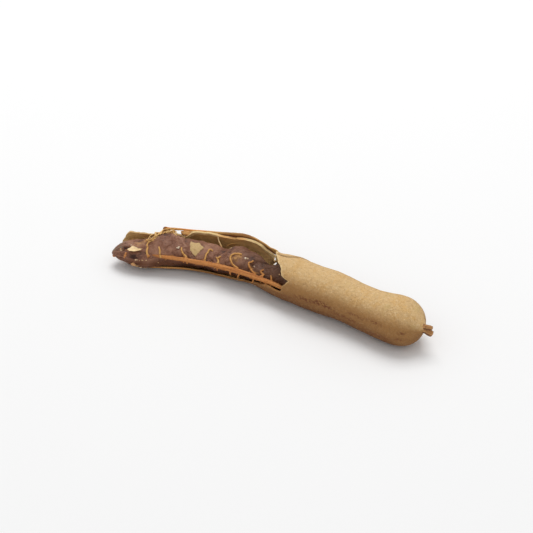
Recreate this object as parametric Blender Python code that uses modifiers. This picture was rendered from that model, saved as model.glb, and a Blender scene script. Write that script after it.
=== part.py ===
"""A tamarind pod lying on a surface, with one half broken open.

The shell is a thin brittle tube round a gently bent centreline. Its stalk half is whole. Its other half has
lost its roof, so it is a trough with torn rims, and shows the lumpy pulp, the fibres that run along it and
two scraps of shell stuck to it.

Places on the pod are given as (s, angle): s is the distance along the centreline from the open end, and the
angle turns round the centreline from the front (0) over the top (90) and the back (180) to the underside (270).
"""

import math

import bmesh
import bpy
import numpy as np

MM = 0.001

# Driving dimensions
LENGTH = 150 * MM
HALF_WIDTH = 10.5 * MM
HALF_HEIGHT = 9.7 * MM
WALL = 0.8 * MM
GAP = 0.35 * MM
SETTLE = 0.2 * MM  # how much of the round underside is worn flat where the pod rests

# The plan of the centreline: its heading at each end in degrees, and the stretch where it bends
HEADING_OPEN = 23.7
HEADING_STALK = -9.2
BEND_FROM = 0.09
BEND_TO = 0.47
CHORD_MIDDLE = (-1.02 * MM, -8.15 * MM)

# The girth: how much slimmer the open end is, and where the stalk end starts to close
TAPER = 0.06
CLOSE_FROM = 0.925
CLOSE_POWER = 2.3

# Swellings over the seeds and waists between them: (place along the length, gain, reach)
TOP_SIDE = 127
UPPER_SWELLS = (
    (0.43, 0.025, 0.05), (0.495, -0.10, 0.03), (0.57, 0.027, 0.05), (0.70, 0.075, 0.05),
    (0.82, -0.044, 0.05), (0.92, 0.134, 0.05),
)
LOWER_SWELLS = ((0.45, -0.131, 0.06), (0.75, -0.066, 0.06), (0.90, 0.024, 0.06))

# The torn outline of the open half, as (mm along, degrees)
BACK_RIM = (
    (0, 160), (4, 163), (9, 167), (14, 173), (18, 176), (25, 171), (27.5, 174), (29, 179), (31, 167),
    (33, 154), (39, 151), (45, 157), (48, 157), (50.5, 153), (53, 145), (56, 135), (58.5, 133), (60.5, 138),
    (62.7, 151), (64.8, 163), (67.3, 172), (70, 177),
)
FRONT_RIM = ((0, 296), (14, 296), (22, 310), (64, 310), (70, 338), (77, 357), (85, 358))
TEAR = (
    (358, 85), (371, 86), (379, 86.2), (390, 88.2), (395, 88.4), (398, 86), (405, 84), (418, 83), (431, 80),
    (444, 77.6), (458, 75.8), (472, 74.3), (500, 72.5), (537, 70),
)
OPEN_EDGE = ((160, 4.2), (195, 0.8), (214, 0), (240, 1.5), (270, 4), (285, 7), (296, 10))

# Cracks through the back wall beside the tear, each from end to end as (mm along, angle, half width in mm)
CRACKS = (
    ((69.7, 179, 0.4), (69.4, 185, 0.75), (69.2, 191, 0.4)),
    ((70.6, 194, 0.35), (70.0, 200, 0.6), (68.8, 209, 0.35)),
)

# The pulp's section, in half widths and half heights of the pod
PULP_FRONT = ((0, 0.78), (25, 0.78), (40, 0.74), (66, 0.74), (76, 0.61), (92, 0.61), (100, 0.80), (150, 0.80))
PULP_BACK = 0.68
PULP_FLOOR = 0.83
PULP_TOP = 0.30
PULP_BACK_INSIDE = 0.82
PULP_TOP_INSIDE = 0.80
PULP_TIP = -3.4 * MM
PULP_TIP_REACH = 15.8 * MM
PULP_END = 146.5 * MM
# Lumps over the seeds and creases between them, in the open half: (mm along, gain, reach in mm)
PULP_LUMPS = (
    (9.5, -0.13, 5.0), (15.5, -0.08, 3), (22, 0.37, 8.5), (27.5, -0.11, 2.5), (41, -0.08, 4),
    (47.5, -0.20, 3.2), (57, 0.23, 5.5), (64, 0.12, 3.5), (70, -0.04, 3),
)

# The thick fibre along the front: (mm along, half widths back, half heights up, radius in mm)
FRONT_STRAND = (
    (13, -0.84, 0.19, 0.45), (20, -0.87, 0.10, 0.55), (28, -0.88, 0.03, 0.65), (38, -0.90, -0.02, 0.8),
    (46, -0.90, 0.00, 0.95), (55, -0.90, 0.03, 1.1), (67, -0.88, 0.10, 1.1), (75, -0.78, 0.06, 0.95),
    (81, -0.74, 0.04, 0.9), (86, -0.74, -0.02, 0.85), (91, -0.74, -0.08, 0.6),
)
# Its branches over the pulp, as (mm along, angle): the first point's place is also where it leaves the strand
SIDE_FIBRES = (
    ((14.3, 28), (13.7, 42), (13.5, 63), (13.5, 80), (14.4, 92)),
    ((20, 13), (19.5, 30), (19, 52)),
    ((32.5, 28), (31, 36), (30, 48), (29.7, 62)),
    ((41.7, 26), (41.7, 42), (41.8, 62), (42.6, 79), (44, 77)),
    ((49.3, 38), (48, 54), (46.4, 57)),
    ((60.8, 21), (57.6, 28), (55.7, 47), (55.2, 63), (57.3, 71), (59.7, 76)),
    ((69.2, 29), (66.6, 42), (65, 53), (65, 63), (66, 78)),
    ((73.2, 38), (71.7, 47), (71.4, 57), (72.3, 63)),
    ((78.4, 13), (77.8, 24), (77.3, 36)),
)
SIDE_FIBRE_RADIUS = (0.42, 0.28)

# The thin fibre outside the back rim: (mm along, angle, share of the shell's radius, radius in mm)
BACK_STRAND = (
    (20, 157, 1.085, 0.5), (24, 158, 1.08, 0.42), (32, 159, 1.08, 0.42), (41, 157.5, 1.095, 0.5),
    (46.5, 154, 1.115, 0.7), (50.4, 148, 1.12, 0.7), (54.2, 144, 1.13, 0.7), (58.3, 145, 1.115, 0.65),
    (62.7, 151, 1.095, 0.6), (66.6, 161, 1.085, 0.5), (69.6, 165, 1.08, 0.4),
)
# Loose fibres between the rim and the pulp: (mm along, half widths back, half heights up)
LOOSE_FIBRES = {
    "loose_fibre_outer": ((15.6, 0.03, 0.60), (16.9, 0.15, 0.62), (17.9, 0.32, 0.60), (19.2, 0.47, 0.55),
                          (21.5, 0.70, 0.46), (23.4, 0.88, 0.38)),
    "loose_fibre_inner": ((24.6, 0.84, 0.30), (25.0, 0.64, 0.38), (25.6, 0.50, 0.45)),
    "wall_fibre": ((43.0, 0.77, 0.40), (43.7, 0.72, 0.20), (45.3, 0.62, 0.03)),
}
LOOSE_FIBRE_RADIUS = 0.25

# Scraps of shell stuck to the pulp, as outlines of (mm along, angle), anticlockwise from above
SCRAPS = {
    "shell_scrap_left": (
        (4.7, 58), (5.2, 54), (7.0, 52), (8.2, 53), (10.5, 56), (11.4, 60), (9.5, 63), (8.2, 69), (6.8, 76),
    ),
    "shell_scrap_middle": (
        (33.0, 92), (32.9, 80), (33.4, 70), (33.8, 55), (35.1, 46), (36.9, 38), (37.8, 52), (38.3, 63),
        (39.6, 80), (36.4, 95), (34.7, 89),
    ),
}
SCRAP_THICKNESS = 0.5 * MM

# The stalk: (mm past the shell, half widths back, half heights up, radius in mm) of its two lobes
STALK_LOBES = (
    ((0, 0, 0.20, 2.3), (1.4, 0, 0.24, 1.6), (3, 0, 0.34, 1.3), (4.3, 0, 0.38, 1.15)),
    ((0, 0, 0.12, 2.2), (1.4, 0, 0.12, 1.6), (3, 0, 0.06, 1.45), (4.7, 0, 0.02, 1.3)),
)


def smooth(x):
    """0 below 0, 1 above 1, and 3x^2 - 2x^3 between."""
    x = np.clip(x, 0, 1)
    return x * x * (3 - 2 * x)


def bump(x, at, reach):
    """1 at its place, falling off as exp(-d^2)."""
    return np.exp(-(((x - at) / reach) ** 2))


def along(table, x):
    """A table of (x, value) pairs read at x, straight between its points."""
    places, values = zip(*table)
    return np.interp(x, places, values)


def heading(s):
    """The direction of the centreline in plan, in radians from +X."""
    turn = smooth((s / LENGTH - BEND_FROM) / (BEND_TO - BEND_FROM))
    return np.radians(HEADING_OPEN + (HEADING_STALK - HEADING_OPEN) * turn)


def plan_of_centreline():
    """Distances and their (x, y), stepped along the heading, with the chord's middle at its place."""
    s = np.linspace(-0.1 * LENGTH, 1.1 * LENGTH, 2401)
    middle = heading((s[1:] + s[:-1]) / 2)
    steps = np.diff(s) * np.stack([np.cos(middle), np.sin(middle)])
    plan = np.concatenate([[[0.0], [0.0]], np.cumsum(steps, axis=1)], axis=1)
    for axis, wanted in zip(plan, CHORD_MIDDLE):
        axis += wanted - (np.interp(0, s, axis) + np.interp(LENGTH, s, axis)) / 2
    return s, plan[0], plan[1]


CENTRELINE = plan_of_centreline()


def slimness(s):
    return 1 - TAPER * (1 - smooth((s / LENGTH + 0.05) / 0.55))


def girth(s):
    """The pod's size at s: slimmer at the open end, and a superellipse that closes at the stalk."""
    closing = np.clip((s / LENGTH - CLOSE_FROM) / (1 - CLOSE_FROM), 0, 1)
    return slimness(s) * (1 - closing**CLOSE_POWER) ** (1 / CLOSE_POWER)


def swell(s, angle):
    """The gain over the plain tube: the upper swellings fade round to the lower ones as a cosine."""
    t = s / LENGTH
    upper = (1 + np.cos(np.radians(angle - TOP_SIDE))) / 2
    gain = upper * sum(gain * bump(t, at, reach) for at, gain, reach in UPPER_SWELLS)
    return gain + (1 - upper) * sum(gain * bump(t, at, reach) for at, gain, reach in LOWER_SWELLS)


def place(s, back, up):
    """The point this far back and up from the centreline at s."""
    x, y = np.interp(s, CENTRELINE[0], CENTRELINE[1]), np.interp(s, CENTRELINE[0], CENTRELINE[2])
    z = HALF_HEIGHT * slimness(s) - SETTLE
    turn = heading(s)
    return np.stack([x - np.sin(turn) * back, y + np.cos(turn) * back, z + up], axis=-1)


def around(s, angle, share=1.0, lift=0.0):
    """The point at (s, angle), at a share of the way from the centreline to the shell, plus a lift in metres."""
    s, angle = np.broadcast_arrays(np.asarray(s, float), np.asarray(angle, float))
    turn = np.radians(angle)
    size = girth(s) * (1 + swell(s, angle)) * share
    return place(s, -np.cos(turn) * (HALF_WIDTH * size + lift), np.sin(turn) * (HALF_HEIGHT * size + lift))


def pulp_surface(s, angle, lift=0.0):
    """An ellipse whose top follows the lumps, narrowed to a tip at the open end and closed at the stalk end."""
    s, angle = np.broadcast_arrays(np.asarray(s, float), np.asarray(angle, float))
    inside = smooth((s - 72 * MM) / (12 * MM))
    front = along(PULP_FRONT, s / MM)
    top = PULP_TOP + sum(gain * bump(s, at * MM, reach * MM) for at, gain, reach in PULP_LUMPS)
    top = top + (PULP_TOP_INSIDE - top) * inside
    back = PULP_BACK + (PULP_BACK_INSIDE - PULP_BACK) * inside
    tip = np.clip((s - PULP_TIP) / PULP_TIP_REACH, 0, 1)
    tip = (1 - (1 - tip) ** 1.6) ** 0.6
    end = np.clip((s - 0.93 * PULP_END) / (0.07 * PULP_END), 0, 1)
    close = tip * (1 - end**2) ** 0.5
    turn = np.radians(angle)
    across = (back - front) / 2 - np.cos(turn) * (back + front) / 2 * close
    up = (top - PULP_FLOOR) / 2 * tip - 0.30 * (1 - tip) + np.sin(turn) * (top + PULP_FLOOR) / 2 * close
    size = girth(np.clip(s, 0, None)) * (1 + swell(s, np.degrees(np.arctan2(up, -across))))
    back_by = HALF_WIDTH * size * across - np.cos(turn) * lift
    up_by = HALF_HEIGHT * size * up + np.sin(turn) * lift
    return place(s, back_by, up_by)


# Making the pieces


def material(name, colour, roughness):
    """A Principled material of this linear colour and roughness."""
    made = bpy.data.materials.new(name)
    made.use_nodes = True
    shader = made.node_tree.nodes["Principled BSDF"]
    shader.inputs["Base Color"].default_value = (*colour, 1)
    shader.inputs["Roughness"].default_value = roughness
    shader.inputs["Metallic"].default_value = 0
    return made


def collection(name, parent):
    made = bpy.data.collections.new(name)
    parent.children.link(made)
    return made


def surface(name, points, faces, look, group):
    """An object made of these points and faces, its doubled points merged so that poles and seams close."""
    mesh = bpy.data.meshes.new(name)
    mesh.from_pydata(np.asarray(points).tolist(), [], faces)
    work = bmesh.new()
    work.from_mesh(mesh)
    bmesh.ops.remove_doubles(work, verts=work.verts, dist=0.002 * MM)
    work.to_mesh(mesh)
    work.free()
    mesh.shade_smooth()
    mesh.materials.append(look)
    made = bpy.data.objects.new(name, mesh)
    group.objects.link(made)
    return made


def quads(index):
    """The faces between neighbours in a table of point numbers, where all four points exist."""
    corners = np.stack([index[:-1, :-1], index[1:, :-1], index[1:, 1:], index[:-1, 1:]], axis=-1)
    corners = corners.reshape(-1, 4)
    return corners[(corners >= 0).all(axis=1)].tolist()


def smooth_path(rows, steps):
    """A Catmull-Rom curve through the rows, with this many steps from each to the next."""
    rows = np.asarray(rows, float)
    ends = np.vstack([2 * rows[0] - rows[1], rows, 2 * rows[-1] - rows[-2]])
    t = (np.arange(steps) / steps)[:, None]
    spans = []
    for before, start, end, after in zip(ends, ends[1:], ends[2:], ends[3:]):
        bend = 2 * before - 5 * start + 4 * end - after
        twist = -before + 3 * start - 3 * end + after
        spans.append(start + (end - before) * t / 2 + bend * t**2 / 2 + twist * t**3 / 2)
    return np.vstack([*spans, rows[-1:]])


def tube(name, places, radii, look, group, roundness=1):
    """A round fibre along these places with a radius at each, as a curve with filled caps."""
    curve = bpy.data.curves.new(name, "CURVE")
    curve.dimensions = "3D"
    curve.bevel_depth = 1
    curve.bevel_resolution = roundness
    curve.use_fill_caps = True
    spline = curve.splines.new("POLY")
    spline.points.add(len(places) - 1)
    spline.points.foreach_set("co", np.hstack([places, np.ones((len(places), 1))]).ravel())
    spline.points.foreach_set("radius", np.broadcast_to(radii, len(places)))
    curve.materials.append(look)
    made = bpy.data.objects.new(name, curve)
    group.objects.link(made)
    return made


def meshed(curve_object):
    """The curve as a closed mesh object of the same name and place."""
    group = curve_object.users_collection[0]
    name = curve_object.name
    bpy.context.view_layer.update()
    graph = bpy.context.evaluated_depsgraph_get()
    mesh = bpy.data.meshes.new_from_object(curve_object.evaluated_get(graph))
    work = bmesh.new()
    work.from_mesh(mesh)
    bmesh.ops.remove_doubles(work, verts=work.verts, dist=0.002 * MM)
    bmesh.ops.recalc_face_normals(work, faces=work.faces)
    work.to_mesh(mesh)
    work.free()
    matrix = curve_object.matrix_world.copy()
    bpy.data.objects.remove(curve_object)
    made = bpy.data.objects.new(name, mesh)
    made.matrix_world = matrix
    group.objects.link(made)
    return made


def as_helper(helper):
    helper.hide_render = True
    helper.display_type = "WIRE"


def boolean(target, operation, other):
    cut = target.modifiers.new(other.name, "BOOLEAN")
    cut.operation = operation
    cut.object = other
    as_helper(other)


def shell_places(trough_columns, roof_columns, open_rows, whole_rows):
    """
    Distances and angles of the shell's points, on rows from the open end to the stalk and columns round it.

    Across the trough the angle runs from the back rim to the front rim, and over the roof from the front rim
    on to the back rim. Along the open half s runs from the open edge to the tear, and along the whole half
    from the tear to the stalk, closer towards the end, where the shell turns in.
    """
    across = np.linspace(0, 1, trough_columns + 1)
    over = np.linspace(0, 1, roof_columns + 1)[1:]
    back_at_tear, front_at_tear = BACK_RIM[-1][1], FRONT_RIM[-1][1]
    trough = back_at_tear + (front_at_tear - back_at_tear) * across
    roof = front_at_tear + (back_at_tear + 360 - front_at_tear) * over
    start, end = BACK_RIM[-1][0], FRONT_RIM[-1][0]
    tear = np.concatenate([start + (end - start) * across, along(TEAR, roof)]) * MM
    edge_angle = np.concatenate([OPEN_EDGE[0][0] + (OPEN_EDGE[-1][0] - OPEN_EDGE[0][0]) * across, 0 * over])
    edge = along(OPEN_EDGE, edge_angle) * MM
    open_share = np.linspace(0, 1, open_rows + 1)[:, None]
    whole_share = 1 - (1 - np.linspace(0, 1, whole_rows + 1)[1:, None]) ** 1.7
    s = np.vstack([edge + (tear - edge) * open_share, tear + (LENGTH - tear) * whole_share])
    back, front = along(BACK_RIM, s / MM), along(FRONT_RIM, s / MM)
    angle = np.hstack([
        (back + (front - back) * np.append(across, 0 * over))[:, : trough_columns + 1],
        (front + (back + 360 - front) * np.append(0 * across, over))[:, trough_columns + 1 :],
    ])
    return s, angle


def make_shell(look, group, cutters):
    """The whole shell as one open surface with the thickness of its wall, cracked beside the tear."""
    trough_columns, roof_columns, open_rows, whole_rows = 18, 20, 24, 15
    s, angle = shell_places(trough_columns, roof_columns, open_rows, whole_rows)
    points = around(s, angle)
    points[..., 2] = np.maximum(points[..., 2], 0)
    index = np.arange(s.size).reshape(s.shape)
    index[:open_rows, trough_columns + 1 :] = -1
    shell = surface("pod_shell", points.reshape(-1, 3), quads(index), look, group)
    wall = shell.modifiers.new("wall", "SOLIDIFY")
    wall.thickness = WALL
    wall.offset = -1
    for number, crack in enumerate(CRACKS, 1):
        boolean(shell, "DIFFERENCE", make_crack(f"crack_{number}", crack, look, cutters))
    return shell


def make_crack(name, crack, look, group):
    """A slit's cutter: its outline in (s, angle), drawn both inside and outside the wall and joined."""
    s, angle, half = np.array(crack).T
    there = np.stack([s - half, angle], axis=-1)
    back_again = np.stack([s + half, angle], axis=-1)[::-1]
    outline = np.vstack([there, back_again, there[:1]])
    rings = [around(outline[:, 0] * MM, outline[:, 1], share) for share in (0.85, 1.06)]
    points = np.vstack(rings)
    count = len(outline)
    faces = quads(np.arange(2 * count).reshape(2, count))
    faces += [list(range(count - 1)), list(range(2 * count - 2, count - 1, -1))]
    cutter = surface(name, points, faces, look, group)
    work = bmesh.new()
    work.from_mesh(cutter.data)
    bmesh.ops.recalc_face_normals(work, faces=work.faces)
    work.to_mesh(cutter.data)
    work.free()
    return cutter


def make_pulp(look, group):
    rows, columns = 52, 22
    share = np.linspace(0, 1, rows + 1)[:, None]
    s = PULP_TIP + (PULP_END - PULP_TIP) * (share + 0.035 * np.sin(-2 * math.pi * share) / 2)
    angle = np.linspace(0, 360, columns + 1)[None, :]
    points = pulp_surface(s, angle)
    index = np.arange(points[..., 0].size).reshape(rows + 1, columns + 1)
    return surface("pulp", points.reshape(-1, 3), quads(index), look, group)


def in_section(s, back, up):
    """The point at s this many of the pod's half widths back and half heights up."""
    return place(s, back * HALF_WIDTH * slimness(s), up * HALF_HEIGHT * slimness(s))


def make_front_strand(look, group, cutters):
    """The strand with its branches grown on: each leaves its middle and lies over the pulp."""
    s, back, up, radius = smooth_path(FRONT_STRAND, 3).T
    strand = meshed(tube("front_strand", in_section(s * MM, back, up), radius * MM, look, group, 2))
    foot_radius, tip_radius = SIDE_FIBRE_RADIUS
    for number, fibre in enumerate(SIDE_FIBRES, 1):
        radius = np.linspace(foot_radius, tip_radius, len(fibre) + 1) * MM
        foot_s = fibre[0][0]
        foot = in_section(foot_s * MM, np.interp(foot_s, s, back), np.interp(foot_s, s, up))
        fibre_s, angle = np.array(fibre).T
        over_pulp = pulp_surface(fibre_s * MM, angle, GAP + radius[1:])
        rows = smooth_path(np.column_stack([np.vstack([foot, over_pulp]), radius]), 2)
        name = f"side_fibre_{number}"
        boolean(strand, "UNION", meshed(tube(name, rows[:, :3], rows[:, 3], look, cutters)))
    return strand


def make_back_strand(look, group):
    s, angle, share, radius = smooth_path(BACK_STRAND, 3).T
    return tube("back_strand", around(s * MM, angle, share), radius * MM, look, group, 2)


def make_loose_fibre(name, look, group):
    s, back, up = smooth_path(LOOSE_FIBRES[name], 3).T
    return tube(name, in_section(s * MM, back, up), LOOSE_FIBRE_RADIUS * MM, look, group)


def make_scrap(name, look, group):
    """A scrap as rings from its middle to its outline, lifted off the pulp, with the wall's thickness."""
    outline = smooth_path(SCRAPS[name] + SCRAPS[name][:1], 2)
    middle = outline[:-1].mean(axis=0)
    share = np.linspace(0, 1, 4)[:, None, None]
    s, angle = np.moveaxis(middle + (outline - middle) * share, -1, 0)
    points = pulp_surface(s * MM, angle, GAP)
    index = np.arange(s.size).reshape(s.shape)
    scrap = surface(name, points.reshape(-1, 3), quads(index), look, group)
    thick = scrap.modifiers.new("thickness", "SOLIDIFY")
    thick.thickness = SCRAP_THICKNESS
    thick.offset = 1
    return scrap


def make_stalk(look, group, cutters):
    """Two woody lobes joined at the foot, just clear of the shell's closed end."""
    lobes = []
    for number, lobe in enumerate(STALK_LOBES, 1):
        past, back, up, radius = smooth_path(lobe, 3).T
        places = in_section(LENGTH + GAP + past * MM, back, up)
        lobes.append((f"stalk_lobe_{number}", places, radius * MM))
    name, places, radius = lobes[0]
    stalk = meshed(tube("stalk", places, radius, look, group, 2))
    name, places, radius = lobes[1]
    boolean(stalk, "UNION", meshed(tube(name, places, radius, look, cutters, 2)))
    return stalk


def main():
    for old in list(bpy.data.objects):
        bpy.data.objects.remove(old)
    pod = collection("tamarind_pod", bpy.context.scene.collection)
    helpers = collection("helpers", bpy.context.scene.collection)
    husk = material("husk", (0.52, 0.35, 0.18), 0.85)
    flesh = material("flesh", (0.13, 0.07, 0.06), 0.5)
    fibre = material("fibre", (0.55, 0.25, 0.08), 0.6)
    wood = material("wood", (0.33, 0.17, 0.06), 0.8)
    make_shell(husk, pod, helpers)
    make_pulp(flesh, pod)
    make_front_strand(fibre, pod, helpers)
    make_back_strand(fibre, pod)
    for name in LOOSE_FIBRES:
        make_loose_fibre(name, fibre, pod)
    for name in SCRAPS:
        make_scrap(name, husk, pod)
    make_stalk(wood, pod, helpers)


main()
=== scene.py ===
"""The looks of a tamarind pod that lies on a surface with one half broken open.

Places on the pod are given as (s, angle): s is the distance along the centreline from the open end, in mm
where a table holds it, and the angle turns round the centreline from the front (0) over the top (90) and
the back (180) to the underside (270).
"""

import math

import bpy
import numpy as np
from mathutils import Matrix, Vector


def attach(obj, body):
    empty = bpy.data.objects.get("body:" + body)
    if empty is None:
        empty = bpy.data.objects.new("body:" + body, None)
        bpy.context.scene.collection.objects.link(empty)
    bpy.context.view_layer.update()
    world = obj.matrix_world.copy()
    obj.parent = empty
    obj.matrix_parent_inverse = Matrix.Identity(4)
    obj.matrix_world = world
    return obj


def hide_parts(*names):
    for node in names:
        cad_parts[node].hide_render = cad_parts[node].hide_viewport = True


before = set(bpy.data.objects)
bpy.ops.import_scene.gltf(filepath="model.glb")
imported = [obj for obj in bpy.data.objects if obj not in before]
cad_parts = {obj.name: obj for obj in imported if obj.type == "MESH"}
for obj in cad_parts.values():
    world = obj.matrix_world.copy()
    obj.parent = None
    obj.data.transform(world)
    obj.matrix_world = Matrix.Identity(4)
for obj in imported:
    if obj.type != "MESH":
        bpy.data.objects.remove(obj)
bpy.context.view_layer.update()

MM = 0.001

# The pod's driving dimensions, as in the frame
LENGTH = 150 * MM
HALF_WIDTH = 10.5 * MM
HALF_HEIGHT = 9.7 * MM
WALL = 0.8 * MM
SETTLE = 0.2 * MM  # how much of the round underside is worn flat

# The centreline in plan: its heading at each end in degrees, where it bends in shares of the length, its
# chord's middle, and how finely and how far past each end it is stepped
HEADING_OPEN = 23.7
HEADING_STALK = -9.2
BEND_FROM = 0.09
BEND_TO = 0.47
CHORD_MIDDLE = (-1.02 * MM, -8.15 * MM)
PLAN_POINTS = 2401
PLAN_BEYOND = 0.1

# The girth: how much slimmer the open end is, between where in shares of the length that fades, and how the
# stalk end closes
TAPER = 0.06
TAPER_FROM = -0.05
TAPER_TO = 0.50
CLOSE_FROM = 0.925
CLOSE_POWER = 2.3

# Swellings over the seeds and waists between them: (place along the length, gain, reach)
TOP_SIDE = 127
UPPER_SWELLS = (
    (0.43, 0.025, 0.05), (0.495, -0.10, 0.03), (0.57, 0.027, 0.05), (0.70, 0.075, 0.05),
    (0.82, -0.044, 0.05), (0.92, 0.134, 0.05),
)
LOWER_SWELLS = ((0.45, -0.131, 0.06), (0.75, -0.066, 0.06), (0.90, 0.024, 0.06))

# The torn outline of the open half, as (mm along, degrees)
BACK_RIM = (
    (0, 160), (4, 163), (9, 167), (14, 173), (18, 176), (25, 171), (27, 174), (28.4, 179), (30.2, 167),
    (32, 155), (39, 151), (45, 156), (48, 155), (50.5, 152), (53, 145), (56, 135), (58.5, 133), (60.5, 138),
    (62.7, 151), (64.8, 162), (67.3, 169.5), (70, 174.5),
)
FRONT_RIM = ((0, 296), (14, 296), (22, 310), (64, 310), (70, 338), (77, 357), (85, 358))
TEAR = (
    (358, 85), (371, 86), (379, 86.2), (390, 88.2), (395, 88.4), (398, 86), (405, 84), (418, 83), (431, 80),
    (444, 77.6), (458, 75.8), (472, 74.3), (500, 72.5), (537, 70),
)
OPEN_EDGE = ((160, 4.2), (195, 0.8), (214, 0), (240, 1.5), (270, 4), (285, 7), (296, 10))

# Cracks through the back wall beside the tear, from end to end as (mm along, angle, half width in mm)
CRACKS = (
    ((69.7, 178, 0.45), (69.4, 184, 0.75), (69.2, 190, 0.5)),
    ((70.6, 193, 0.4), (70.0, 200, 0.6), (68.8, 210, 0.4)),
)

# Lines on the whole half's skin, as (mm along, angle): an open crease from the tear, and the raised seam
CREASE = ((75.0, 106), (76.7, 101), (79.3, 97), (81, 98.5), (82.7, 105), (84.1, 116), (86, 130), (89, 137))
SEAM = ((96, 128), (110, 124), (125, 118), (138, 112), (148, 100))

# The pulp's section, in half widths and half heights of the pod: its front, back and floor, and its top
# with its lumps as (mm along, height, reach). It is a little fuller than in the frame, where it keeps clear
# of the rest.
PULP_FRONT = (
    (0, 0.92), (13, 0.92), (22, 0.80), (40, 0.76), (66, 0.76), (76, 0.64), (92, 0.64), (100, 0.80),
    (150, 0.80),
)
PULP_BACK = ((0, 0.86), (10, 0.87), (18, 0.78), (56, 0.70), (63, 0.62), (68, 0.50), (72, 0.50), (84, 0.82))
PULP_FLOOR = 0.85
PULP_TOP = 0.30
PULP_TOP_INSIDE = 0.80
PULP_LUMPS = (
    (2, 0.06, 2.5), (9.5, -0.09, 5.0), (15.5, -0.08, 3), (22, 0.37, 8.5), (27.5, -0.11, 2.5),
    (41, -0.08, 4), (47.5, -0.20, 3.2), (57, 0.23, 5.5), (64, 0.12, 3.5), (70, -0.04, 3),
)
# Where it goes under the roof and over how far, its tip with how far it takes to fill out, how roundly and
# how much it droops, and its end with the share of its length that closes it
PULP_INSIDE_FROM = 72 * MM
PULP_INSIDE_REACH = 12 * MM
PULP_TIP = -3.4 * MM
PULP_TIP_REACH = 15.8 * MM
PULP_TIP_POWERS = (1.6, 0.6)
PULP_TIP_DROOP = 0.30
PULP_END = 146.5 * MM
PULP_CLOSING = 0.07

# The thick fibre along the front: (mm along, half widths back, half heights up, radius in mm, tint). A tint
# goes from -1 for dark brown fibre over 0 for orange-brown and 1 for golden to 2 for dark brown again.
FRONT_STRAND = (
    (16, -0.78, 0.14, 0.25, -0.6), (19, -0.82, 0.10, 0.7, -0.2), (24, -0.85, 0.06, 0.85, 0.05),
    (30, -0.87, 0.02, 0.92, -0.1), (38, -0.89, -0.02, 1.0, -0.1), (46, -0.90, 0.00, 1.05, 0),
    (55, -0.90, 0.03, 1.1, 0), (67, -0.88, 0.10, 1.1, 0), (75, -0.80, 0.06, 1.0, 0),
    (81, -0.76, 0.04, 0.95, 0.2), (86, -0.75, -0.02, 0.9, 0.4), (93, -0.74, -0.08, 0.5, 0.5),
)

# Its branches over the pulp, from foot to tip: (mm along, angle)
SIDE_FIBRES = (
    ((14.3, 28), (13.7, 42), (13.5, 63), (13.5, 80), (14.4, 92)),
    ((20, 13), (19.5, 30), (19, 52)),
    ((32.5, 28), (31, 36), (30, 48), (29.7, 62)),
    ((41.7, 26), (41.7, 42), (41.8, 62), (42.6, 79), (44, 77)),
    ((49.3, 34), (48, 52), (46.3, 61)),
    ((48.1, 52), (49.0, 66)),
    ((60.8, 21), (57.5, 28), (55.8, 44), (55.4, 58), (57.1, 70), (59.7, 75)),
    ((69.2, 29), (66.6, 42), (65, 53), (65, 63), (66, 78)),
    ((73.2, 38), (71.7, 47), (71.4, 57), (72.3, 63)),
    ((78.4, 13), (77.8, 24), (77.3, 36)),
)
# Their radius in mm, at the foot and at the tip
SIDE_FIBRE_RADIUS = (0.5, 0.34)
# Those that fork from another one, and not from the strand, by their first place
FORKS = ((48.1, 52),)

# Short hairs that tie the front strand to the pulp and the rim under it: (mm along, half widths back, half
# heights up), and their radius in mm, at the foot and at the tip
STRAND_HAIRS = (
    ((33, -0.86, -0.05), (33.3, -0.90, -0.14), (33.4, -0.88, -0.2)),
    ((50, -0.91, 0.0), (50.2, -0.94, -0.14), (50.1, -0.92, -0.24)),
    ((57.5, -0.92, 0.0), (57.9, -0.96, -0.14), (58.0, -0.94, -0.25)),
    ((63.0, -0.90, 0.0), (62.4, -0.95, -0.14), (62.2, -0.96, -0.28)),
    ((70.5, -0.84, 0.0), (70.6, -0.93, -0.10), (70.4, -0.97, -0.20)),
    ((76.5, -0.80, 0.0), (76.9, -0.88, -0.06), (77.0, -0.95, -0.12)),
)
STRAND_HAIR_RADIUS = (0.45, 0.2)
# How many fine hairs stand off the front strand, and from where to where along it in mm
FUZZ_COUNT = 150
FUZZ_RANGE = (22, 84)

# The fibre outside the back rim: (mm along, angle, share of the shell's radius, radius in mm, tint)
BACK_STRAND = (
    (19.2, 157, 1.07, 0.4, -0.8), (20.2, 157, 1.07, 0.85, -0.7), (21.8, 157.5, 1.065, 0.65, 0),
    (24, 158, 1.065, 0.6, 0.6), (26.5, 158, 1.06, 0.5, 0.5), (28.5, 158, 1.055, 0.42, 0),
    (32, 159, 1.045, 0.45, 0), (36, 158, 1.04, 0.48, 0.1), (41, 157.5, 1.055, 0.55, 1),
    (46.5, 153.5, 1.085, 0.62, 1.4), (50.4, 147, 1.095, 0.7, 1.45),
    (54.2, 144, 1.125, 0.75, 1.55), (58.3, 145, 1.11, 0.65, 1.55), (62.7, 151, 1.05, 0.5, 1.5),
    (66.6, 161, 1.03, 0.42, 1.4), (69.6, 165, 1.03, 0.4, 1.3),
)
# The lens of fibre under the strand in the notch, as the strand's own rows
LENS = (
    (26.8, 165, 1.03, 0.4, 0), (28.0, 169, 1.01, 1.15, 0), (30.2, 169.5, 1.01, 1.1, 0),
    (31.8, 164, 1.0, 0.4, 0),
)
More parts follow.
